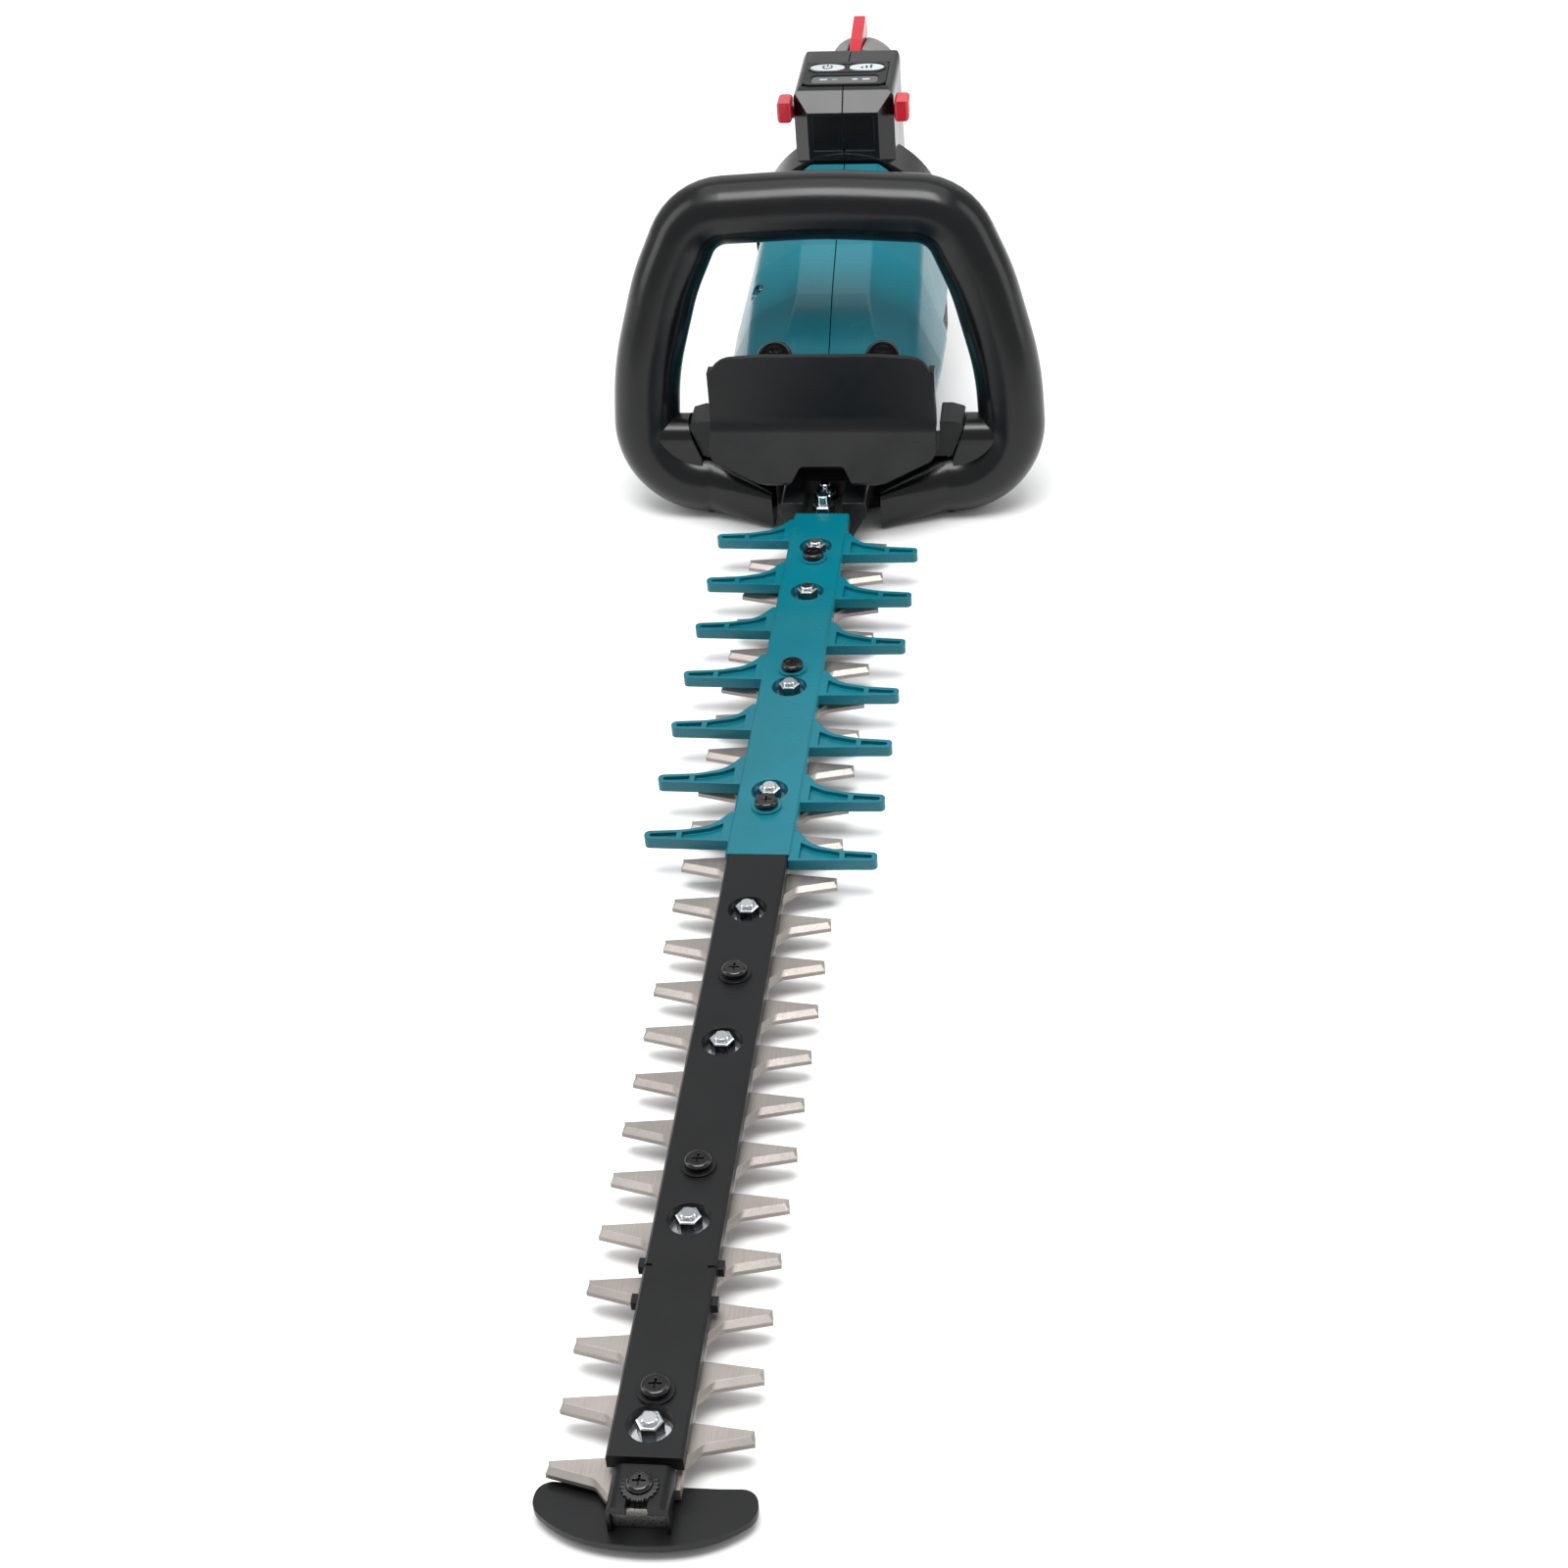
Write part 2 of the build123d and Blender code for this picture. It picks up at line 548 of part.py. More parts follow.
def loop_handle():
    """Round loop handle whose lower ends flatten into two legs beside the gear case."""
    bends = [(96.5, -5.0, 31.0), (93.0, 55.0, 150.0), (80.5, 100.0, 120.0), (64.0, 136.0, 26.0)]
    bends += [(0, 139.4, 400.0)] + [(-x, s, r) for x, s, r in reversed(bends)]
    corners = [(LEG_START_X, -5.0)] + [(x, s) for x, s, r in bends] + [(-LEG_START_X, -5.0)]
    flat_path = FilletPolyline(*corners, radius=[r for x, s, r in bends])
    path = loop_plane() * flat_path
    section = Plane(origin=path @ 0, z_dir=path % 0) * Circle(TUBE_R)
    handle = sweep(section, path=path)
    round_end = Plane.YZ.offset(LEG_START_X) * Pos(LOOP_Y - 0.9, -4.9) * RectangleRounded(33.8, 33.8, 16.8)
    flat_end = Plane.YZ.offset(LEG_END_X) * Pos(627.8, -10.9) * RectangleRounded(18.6, 21.2, 4)
    leg = loft([round_end, flat_end])
    arm = front([(90, -2), (88, 33), (76, 31.0, 3), (71.7, 31.0), (65.1, 12.5), (65.1, -6)], 633.5, 657.0)
    arm &= side([(633.5, -6), (633.5, 31.0, 10), (657.0, 31.0, 10), (657.0, -6)], 60, 95)
    handle = handle.fuse(*both_sides(leg), *both_sides(arm))
    cuts = [rod("Z", at, 2.2, -30, 40) for at in LOOP_SCREWS]
    cuts += [rod("Z", at, 4.2, -30, -17.4) for at in LOOP_SCREWS]
    cuts.append(box((-200, 200), (500, 800), (-60, FLOOR_Z)))
    return handle.cut(*cuts)


def loop_screw(at):
    """Screw up through a leg of the loop into the bracket's shoulder."""
    return rod("Z", at, 4.0, -20.6, -17.4) + rod("Z", at, 1.95, -17.4, 26.0)


def base_screw(at, seat, length):
    """Screw that clamps the motor mount to the bracket or the bracket to the gear case."""
    return rod("Z", at, 3.4, seat, seat + 2.4) + rod("Z", at, 1.94, seat - length, seat)


def loop_base():
    """Bracket across the top of the gear case that joins the two arms of the loop."""
    right = [(0, 12.2), (38.6, 12.2), (64.6, 12.9), (71.2, 30.8, 1.5), (64.0, 33.0, 4), (58.6, 33.0, 1)]
    shoulder = front(right + [(58.2, 16.4), (0, 16.4)], 636.0, 656.0)
    plate = box((-46, 46), (636.0, 748.0), (12.2, 16.4))
    base = plate.fuse(*both_sides(shoulder))
    cuts = [rod("Z", at, 1.95, 11, 26.2) for at in MOTOR_SCREWS + BASE_SCREWS + LOOP_SCREWS]
    cuts += [rod("Z", (0, MOTOR_Y), 8.0, 11, 17), rod("Z", (0, CRANK_Y), 10.0, 11, 17)]
    return base.cut(*cuts)


def guard_plate():
    """Upright hand guard whose lower part folds forwards into a scoop over the blade root."""
    t = GUARD_THICK
    y = GUARD_Y
    profile = [(y + t, GUARD_TOP), (y, GUARD_TOP), (y, 38.0, 12.0), (y - 19.0, 14.6), (y - 17.6, 12.6)]
    profile += [(y + t, 34.0, 12.0)]
    sheet = side(profile, -GUARD_HALF, GUARD_HALF)
    right = [(0, GUARD_TOP + 1), (30.0, GUARD_TOP, 60), (GUARD_HALF - 2, GUARD_TOP - 2, 13)]
    right += [(GUARD_HALF, 24.0, 6), (26.0, 12.0), (17.0, 12.0), (11.0, 21.0, 3), (0, 21.0)]
    mask = front(right, 590, 640)
    shape = (sheet & mask) + (sheet & mirror(mask, about=Plane.YZ))
    wing = box((GUARD_HALF - 3.4, GUARD_HALF - 0.6), (y + t - 1, 633.5), (33.0, 66.0))
    return shape.fuse(*both_sides(wing))


def boss_place(x):
    """Where a guard screw's boss stands on the housing's sloping front."""
    return Pos(x, 667.0, 53.2) * Rot(28.0, 0, 0)


def guard_screw_boss(x):
    """Black boss in the housing's front, with the screw that holds the guard."""
    boss = Pos(0, 0, 0.6) * Cylinder(9.0, 6.0)
    boss = fillet(boss.faces().sort_by(Axis.Z)[-1].edges(), 2.0)
    head = Pos(0, 0, 4.4) * Cylinder(3.6, 2.0)
    cross = Pos(0, 0, 5.2) * (Box(4.2, 0.8, 1.2) + Box(0.8, 4.2, 1.2))
    return boss_place(x) * (boss + head - cross)


# ---------------------------------------------------------------- motor housing


def housing_section(section, inset):
    """One cross-section of the motor housing, moved inwards by a wall thickness."""
    y, top, facet, shoulder, widest, foot, rounding = section
    r = rounding
    right = [(facet - 0.3 * inset, top - inset, 5 * r)]
    right += [(shoulder[0] - 0.8 * inset, shoulder[1] - 0.8 * inset, 14 * r)]
    right += [(widest[0] - inset, widest[1], 10 * r), (foot[0] - inset, foot[1] + inset, 3 * r)]
    return Plane.XZ.offset(-y) * outline(mirrored(right))


def housing_body(inset):
    """Solid form of the motor housing."""
    sections = []
    for section in HOUSING_SECTIONS:
        y = min(max(section[0], HOUSING_SECTIONS[0][0] + inset), HOUSING_REAR - inset)
        sections.append(housing_section((y, *section[1:]), inset))
    return loft(sections, ruled=True)


def cross_bosses(body, places, radius):
    """Screw bosses that run across a hollow body from wall to wall."""
    return [rod("X", at, radius, -60, 60) & body for at in places]


def motor_housing():
    """Thin shell around the motor, open below the motor and around the swivel."""
    outer = housing_body(0)
    shell = (outer - housing_body(WALL)).fuse(*cross_bosses(outer, HOUSING_SCREWS, 4.4))
    cuts = [
        box((-46.4, 46.4), (635.5, 748.5), (-10, 24)),
        rod("Y", (0, TURN_Z), 36.0, 780, 790),
        box((-60, -46), VENT_Y, VENT_Z),
        box((46, 60), VENT_Y, VENT_Z),
    ]
    cuts += [boss_place(x) * Cylinder(9.1, 24.0) for x in (-28.0, 28.0)]
    cuts += [rod("X", at, 2.0, -60, 32) for at in HOUSING_SCREWS]
    cuts += [rod("X", at, 4.1, -60, -38) for at in HOUSING_SCREWS[1:]]
    cuts.append(rod("X", HOUSING_SCREWS[0], 4.1, -60, -44))
    shell = shell.cut(*cuts)
    return max(shell.solids(), key=lambda solid: solid.volume)


def housing_half(shell, sign):
    """One side of the shell, split at the middle plane."""
    keep = box(sorted((SEAM / 2 * sign, 80 * sign)), (600, 820), (-40, 140))
    half = shell & keep
    return max(half.solids(), key=lambda solid: solid.volume)


def vent_grille():
    """Louvred panel for the right side of the housing."""
    y = (VENT_Y[0] + 0.2, VENT_Y[1] - 0.2)
    z = (VENT_Z[0] + 0.2, VENT_Z[1] - 0.2)
    frame = box((50.6, 54.2), y, z)
    for number in range(4):
        low = z[0] + 2.4 + number * 4.6
        frame -= box((50, 56), (y[0] + 4, y[1] - 4), (low, low + 2.6))
    return frame


def side_screw(at, head_x, sign, grip):
    """Cross-head screw along the X axis that joins two housing halves."""
    head = rod("X", at, 3.9, *sorted((head_x, head_x - 2.6 * sign)))
    shank = rod("X", at, 1.95, *sorted((head_x - 2.6 * sign, head_x - grip * sign)))
    y, z = at
    x = sorted((head_x - 1.4 * sign, head_x + sign))
    cross = box(x, (y - 2.4, y + 2.4), (z - 0.4, z + 0.4)) + box(x, (y - 0.4, y + 0.4), (z - 2.4, z + 2.4))
    return head + shank - cross


def housing_screws():
    """Screws that pull the two housing halves together."""
    screws = [side_screw(HOUSING_SCREWS[0], -46.6, -1, 60.0)]
    screws += [side_screw(at, -40.6, -1, 60.0) for at in HOUSING_SCREWS[1:]]
    return group(screws)


def swivel_ring():
    """Bearing ring in the housing's rear wall, in which the rear handle's hub turns."""
    ring = tube("Y", (0, TURN_Z), 35.9, HUB_R + 0.06, 778.4, 789.0)
    return ring + tube("Y", (0, TURN_Z), 40.0, HUB_R + 0.06, 778.4, 784.6)


# ---------------------------------------------------------------- rear handle


def neck():
    """Upright front of the rear handle: chamfered in front, rounded on top and behind."""
    half = NECK_HALF
    across = front(mirrored([(half, NECK_TOP, 6), (half, 30.0)]), 780, 870)
    rear = 862.0
    right = [(0, 789.9), (19.0, 789.9), (half, 799.0), (half, rear, 14), (0, rear)]
    footprint = plan(right, 20, 160)
    footprint += mirror(footprint, about=Plane.YZ)
    return side(NECK, -half, half) & across & footprint


def battery_shoe():
    """Block under the handle whose channel takes the battery's rails."""
    shoe = box((-SHOE_HALF, SHOE_HALF), SHOE_Y, (FLOOR_Z, SHOE_TOP))
    shoe = fillet(shoe.edges().filter_by(Axis.Z), 8.0)
    return fillet(shoe.faces().sort_by(Axis.Z)[-1].edges(), 4.0)


def rear_body():
    """Solid form of the rear handle: a disc, a neck, a D-shaped grip and a battery shoe."""
    loop = side(D_OUTER, -GRIP_HALF, GRIP_HALF)
    loop = soften(loop, Axis.X, GRIP_ROUND) - side(D_GAP, -GRIP_HALF - 1, GRIP_HALF + 1)
    disc = rod("Y", (0, TURN_Z), TURN_DISC_R, HANDLE_FRONT, DISC_REAR)
    root = Plane.XZ.offset(-DISC_REAR) * Pos(0, TURN_Z) * Circle(TURN_DISC_R - 0.3)
    tail = Plane.XZ.offset(-854.0) * Pos(0, 52) * Circle(26.0)
    return disc.fuse(loft([root, tail]), neck(), loop, battery_shoe())


def rear_cavities():
    """Hollows inside the rear handle, as solids to cut away."""
    root = Plane.XZ.offset(3.0 - DISC_REAR) * Pos(0, TURN_Z) * Circle(TURN_DISC_R - 4)
    tail = Plane.XZ.offset(-850.0) * Pos(0, 52) * Circle(22.0)
    return [
        rod("Y", (0, TURN_Z), TURN_DISC_R - 3, 793.0, DISC_REAR - 3.0),
        loft([root, tail]),
        box((-16, 16), (793.4, 801.0), (100, 132.5)),
        box((-22.4, 22.4), (800.2, 844.0), (60, 141.0)),
        side(GRIP_CAVITY, -CAVITY_HALF, CAVITY_HALF),
        side(LINK_CAVITY, -CAVITY_HALF, CAVITY_HALF),
        box((-CHANNEL_HALF, CHANNEL_HALF), (CHANNEL_FRONT, REAR_Y + 5), (FLOOR_Z - 1, CHANNEL_TOP)),
        box((-4, 4), (926.0, 934.0), (CHANNEL_TOP - 1, 5)),
    ]


def rear_handle_shell():
    """Hollow rear handle with openings for its controls."""
    outer = rear_body()
    shell = outer.cut(*rear_cavities())
    shell = shell.fuse(*cross_bosses(outer, HANDLE_SCREWS, 4.9))
    cuts = [
        rod("Y", (0, TURN_Z), HUB_R, 785, 800),
        box((-16.5, 16.5), (785, 791.0), (113.0, 132.0)),
        box((-40, 40), (800.6, 810.2), (127.0, 133.5)),
        box((-22.6, 22.6), (803.0, 835.0), (NECK_TOP - 2.4, 160)),
        box((-21.2, 21.2), (804.8, 833.0), (135, 160)),
        box((-3.7, 3.7), (864.0, 919.0), (108, 160)),
        box((-7.2, 7.2), (868.5, 922.5), (70, 110)),
        rod("X", TRIGGER_PIVOT, 2.0, -PIN_HALF - 0.1, PIN_HALF + 0.1),
        rod("X", LEVER_PIVOT, 2.0, -PIN_HALF - 0.1, PIN_HALF + 0.1),
    ]
    cuts += [rod("X", at, 1.98, -11, 40) for at in HANDLE_SCREWS]
    cuts += [rod("X", at, 4.1, 11, 40) for at in HANDLE_SCREWS]
    shell = shell.cut(*cuts)
    return max(shell.solids(), key=lambda solid: solid.volume)


def rear_half(shell, sign):
    """One side of the rear handle."""
    keep = box(sorted((SEAM / 2 * sign, 80 * sign)), (780, 1120), (-40, 170))
    half = shell & keep
    return max(half.solids(), key=lambda solid: solid.volume)


def swivel_hub():
    """Sleeve that joins the rear handle to the housing and carries the wires through."""
    hub = tube("Y", (0, TURN_Z), HUB_R - 0.01, 24.0, 774.0, 799.5)
    lip = tube("Y", (0, TURN_Z), 34.0, 24.0, 773.4, 777.9)
    return hub + lip + tube("Y", (0, TURN_Z), 36.0, 24.0, 796.0, 799.5)


def trigger():
    """Trigger lever under the front of the grip."""
    shape = side([(870, 107, 1.5), (870, 93, 6), (879, 86, 6), (902, 77, 8), (913, 83, 6), (915, 104, 2)], -6.4, 6.4)
    shape = soften(shape, Axis.X, 1.6)
    return shape - rod("X", TRIGGER_PIVOT, 2.05, -10, 10)


def lock_off_lever():
    """Thin lever that stands up through the top of the grip."""
    edge = [(866.5, 124, 3), (867.5, 137, 3), (880, 140.5, 20), (904, 145.2, 2), (913, 135, 4), (913, 124, 3)]
    edge += [(880, 122, 3)]
    shape = soften(side(edge, -3.3, 3.3), Axis.X, 0.8)
    return shape - rod("X", LEVER_PIVOT, 2.05, -10, 10)


def cross_pin(at, half):
    """Steel pin across the handle."""
    return rod("X", at, 2.0, -half, half)


def rotation_lock():
    """Sliding bar with a tab on each side that frees the rear handle to turn."""
    bar = box((-28.5, 28.5), (801.0, 804.6), (127.4, 132.8))
    tab = soften(box((27.6, 35.6), (792.0, 804.6), (128.4, 139.6)), Axis.X, 2.0)
    return bar.fuse(*both_sides(tab))


def control_panel():
    """Panel in the top of the neck with openings for two buttons and a row of lamps."""
    panel = box((-22.4, 22.4), (803.2, 834.8), (NECK_TOP - 2.3, NECK_TOP + 0.3))
    panel = fillet(panel.edges().filter_by(Axis.Z), 4.0)
    window = Pos(0, 810.6, NECK_TOP - 4) * extrude(RectangleRounded(36.4, 11.4, 3), 6)
    panel -= window
    for x in BUTTON_XS:
        panel -= Pos(x, BUTTON_Y, NECK_TOP - 4) * extrude(Ellipse(9.9, 4.9), 6)
    return panel


def panel_button(x):
    """Oval push button."""
    cap = extrude(Ellipse(9.5, 4.5), 5.0)
    cap = fillet(cap.faces().sort_by(Axis.Z)[-1].edges(), 0.7)
    return Pos(x, BUTTON_Y, NECK_TOP - 4.2) * cap


def indicator_lens():
    """Dark window over the indicator lamps."""
    return Pos(0, 810.6, NECK_TOP - 2.2) * extrude(RectangleRounded(36.0, 11.0, 2.8), 2.0)


def control_board():
    """Circuit board under the panel, with its button switches and lamps."""
    board = box((-21.0, 21.0), (806.0, 833.6), (134.6, 136.2))
    parts = [box((x - 2.5, x + 2.5), (823.9, 828.9), (136.2, 138.6)) for x in BUTTON_XS]
    parts += [box((x - 1.2, x + 1.2), (809.6, 811.6), (136.2, 137.4)) for x in (-12, -4, 4, 12)]
    return board.fuse(*parts)


def switch_module():
    """Trigger switch inside the grip, with its plunger facing the trigger."""
    body = side([(926, 99), (926, 115.5, 2), (951, 102, 2), (951, 89)], -8.0, 8.0)
    return body + rod("Y", (0, 106.0), 2.2, 918.5, 927)


def motor_controller():
    """Controller block with cooling fins in the handle's front body."""
    body = box((-17, 17), (806, 834), (66, 104))
    for number in range(5):
        x = -12.6 + number * 5.6
        body -= box((x, x + 2.8), (805, 835), (98, 105))
    return body


def terminal_block():
    """Contact block at the front of the shoe's channel, with two flat terminals."""
    block = box((-14, 14), (CHANNEL_FRONT + 0.1, 937), (-19.0, CHANNEL_TOP - 0.1))
    for x in (-8.0, 8.0):
        block += box((x - 0.5, x + 0.5), (937, 949), (-16.5, -9.5))
    return block


def battery_rails():
    """Metal channel pieces that a battery's rails slide along."""
    far = CHANNEL_HALF - 0.05
    y = (930.0, REAR_Y - 2)
    rail = box((far - 1.4, far), y, (-19.0, CHANNEL_TOP - 0.1)) + box((far - 4.6, far), y, (-19.0, -17.6))
    return group(both_sides(rail))


def handle_screws():
    """Screws that join the two halves of the rear handle."""
    return group([side_screw(at, 13.6, 1, 24.0) for at in HANDLE_SCREWS])


NODES = {}


def save(name, shape):
    """Keeps a node, shifted so that the origin lies under the middle of the tool."""
    NODES[name] = Pos(0, -(FRONT_Y + REAR_Y) / 2, -FLOOR_Z) * shape


def build_cutter_bar():
    save("guide_bar", guide_bar())
    save("upper_blade", blade(UPPER_Z, True))
    save("lower_blade", blade(LOWER_Z, False))
    save("blade_cover_front", blade_cover_front())
    save("blade_cover_comb", blade_cover_comb())
    save("blade_bolts", group([blade_bolt(y) for y in NUT_YS]))
    save("blade_nuts", group([flange_nut(y, BAR_Z[1]) for y in NUT_YS]))
    save("cover_screws", group([pan_screw(y, 1.25, 5.1, 1.98, -8.9) for y in SCREW_YS]))
    save("tip_guard", tip_guard())
    save("tip_bracket", tip_bracket())
    save("tip_screw", pan_screw(-12.0, -2.0, 4.4, 1.98, -8.9))


def build_drive():
    save("gear_case_upper", gear_case_upper())
    save("gear_case_lower", gear_case_lower())
    save("gear_case_screws", group([case_screw(at) for at in CASE_SCREWS]))
    clamps = [base_screw(at, 16.45, 9.0) for at in BASE_SCREWS]
    clamps += [base_screw(at, 17.65, 5.2) for at in MOTOR_SCREWS]
    save("base_screws", group(clamps))
    save("root_bolts", group([root_bolt(y) for y in ROOT_BOLT_YS]))
    save("root_nuts", group([plain_nut(y, BAR_Z[1]) for y in ROOT_BOLT_YS]))
    save("crank_gear", crank_gear())
    save("crankshaft", crankshaft())
    save("crank_bearing_upper", bearing((0, CRANK_Y), 11.0, 5.0, (2.6, 9.2)))
    save("crank_bearing_lower", bearing((0, CRANK_Y), 8.0, 5.0, (-19.4, -15.2)))
    save("motor_mount", motor_mount())
    save("motor_bearings", group([bearing((0, MOTOR_Y), 6.0, 3.04, z) for z in ((18.0, 22.0), (38.0, 42.0))]))
    save("motor_stator", stator())
    save("motor_windings", windings())
    save("motor_rotor", rotor_can())
    save("motor_shaft", motor_shaft())
    save("cooling_fan", cooling_fan())


def build_front_handle():
    save("loop_handle", loop_handle())
    save("loop_screws", group([loop_screw(at) for at in LOOP_SCREWS]))
    save("loop_base", loop_base())
    save("guard_plate", guard_plate())
    save("guard_screws", group([guard_screw_boss(x) for x in (-28.0, 28.0)]))


def build_housing():
    shell = motor_housing()
    save("housing_left", housing_half(shell, -1))
    save("housing_right", housing_half(shell, 1))
    save("vent_grille_right", vent_grille())
    save("vent_grille_left", mirror(vent_grille(), about=Plane.YZ))
    save("housing_screws", housing_screws())
    save("swivel_ring", swivel_ring())


def build_rear_handle():
    shell = rear_handle_shell()
    save("rear_handle_left", rear_half(shell, -1))
    save("rear_handle_right", rear_half(shell, 1))
    save("handle_screws", handle_screws())
    save("swivel_hub", swivel_hub())
    save("trigger", trigger())
    save("trigger_pin", cross_pin(TRIGGER_PIVOT, PIN_HALF))
    save("lock_off_lever", lock_off_lever())
    save("lock_off_pin", cross_pin(LEVER_PIVOT, PIN_HALF))
    save("rotation_lock", rotation_lock())
    save("control_panel", control_panel())
    save("power_button", panel_button(BUTTON_XS[0]))
    save("mode_button", panel_button(BUTTON_XS[1]))
    save("indicator_lens", indicator_lens())
    save("control_board", control_board())
    save("switch_module", switch_module())
    save("motor_controller", motor_controller())
    save("terminal_block", terminal_block())
    save("battery_rails", battery_rails())


def main():
    build_cutter_bar()
    build_drive()
    build_front_handle()
    build_housing()
    build_rear_handle()
    os.makedirs("parts", exist_ok=True)
    for name, shape in NODES.items():
        export_step(shape, f"parts/{name}.step")


if __name__ == "__main__":
    main()
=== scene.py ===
import json
from math import cos, pi, radians, sin, sqrt

import bmesh
import bpy
from mathutils import Matrix, Vector


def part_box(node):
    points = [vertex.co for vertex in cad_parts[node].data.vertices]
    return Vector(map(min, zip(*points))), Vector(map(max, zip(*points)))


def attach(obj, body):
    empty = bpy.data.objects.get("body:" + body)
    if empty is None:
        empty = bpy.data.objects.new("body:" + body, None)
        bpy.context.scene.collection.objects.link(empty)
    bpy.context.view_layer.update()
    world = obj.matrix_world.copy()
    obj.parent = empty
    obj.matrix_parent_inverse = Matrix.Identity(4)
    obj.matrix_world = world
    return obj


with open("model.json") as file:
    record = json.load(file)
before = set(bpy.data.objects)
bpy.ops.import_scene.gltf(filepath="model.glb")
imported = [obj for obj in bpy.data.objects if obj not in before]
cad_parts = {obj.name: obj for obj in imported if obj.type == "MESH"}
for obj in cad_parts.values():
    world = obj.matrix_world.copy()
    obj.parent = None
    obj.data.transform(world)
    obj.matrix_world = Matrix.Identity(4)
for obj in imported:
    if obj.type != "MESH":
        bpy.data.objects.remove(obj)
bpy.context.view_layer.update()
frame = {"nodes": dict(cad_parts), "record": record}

# Places are in millimetres: y from the first tooth, z from the top of the blade cover.
MM = 0.001
TIP_Y = -26.0
COVER_TOP = 21.5
SHIFT_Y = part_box("tip_guard")[0].y / MM - TIP_Y
PANEL_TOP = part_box("control_panel")[1].z / MM - COVER_TOP
BUTTON_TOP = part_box("power_button")[1].z / MM - COVER_TOP
LENS_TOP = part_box("indicator_lens")[1].z / MM - COVER_TOP


def place(x, y, z):
    """A point given in the tool's millimetres, in the frame's metres."""
    return Vector((x, y + SHIFT_Y, z + COVER_TOP)) * MM


def middle(node):
    """Middle (x, y) of a node's box, in the tool's millimetres."""
    low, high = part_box(node)
    return round((low.x + high.x) / 2 / MM, 1), round((low.y + high.y) / 2 / MM - SHIFT_Y, 1)


def centres_along(node, gap=10.0):
    """The y of every fastener in a node, told apart by the gaps between them."""
    ys = sorted(vertex.co.y / MM - SHIFT_Y for vertex in frame["nodes"][node].data.vertices)
    groups = [[ys[0]]]
    for y in ys[1:]:
        if y - groups[-1][-1] > gap:
            groups.append([])
        groups[-1].append(y)
    return [round((group[0] + group[-1]) / 2, 1) for group in groups]


def srgb(red, green, blue):
    """Linear colour from the usual 0 to 255 screen values."""
    linear = []
    for value in (red, green, blue):
        level = value / 255
        linear.append(level / 12.92 if level <= 0.04045 else ((level + 0.055) / 1.055) ** 2.4)
    return (*linear, 1.0)


# ---------------------------------------------------------------- materials

# Radii to which the finishes round their edges, in metres.
MARK_EDGE = 0.0001
FINE_EDGE = 0.0003
COATED_EDGE = 0.0004
MOULDED_EDGE = 0.0005


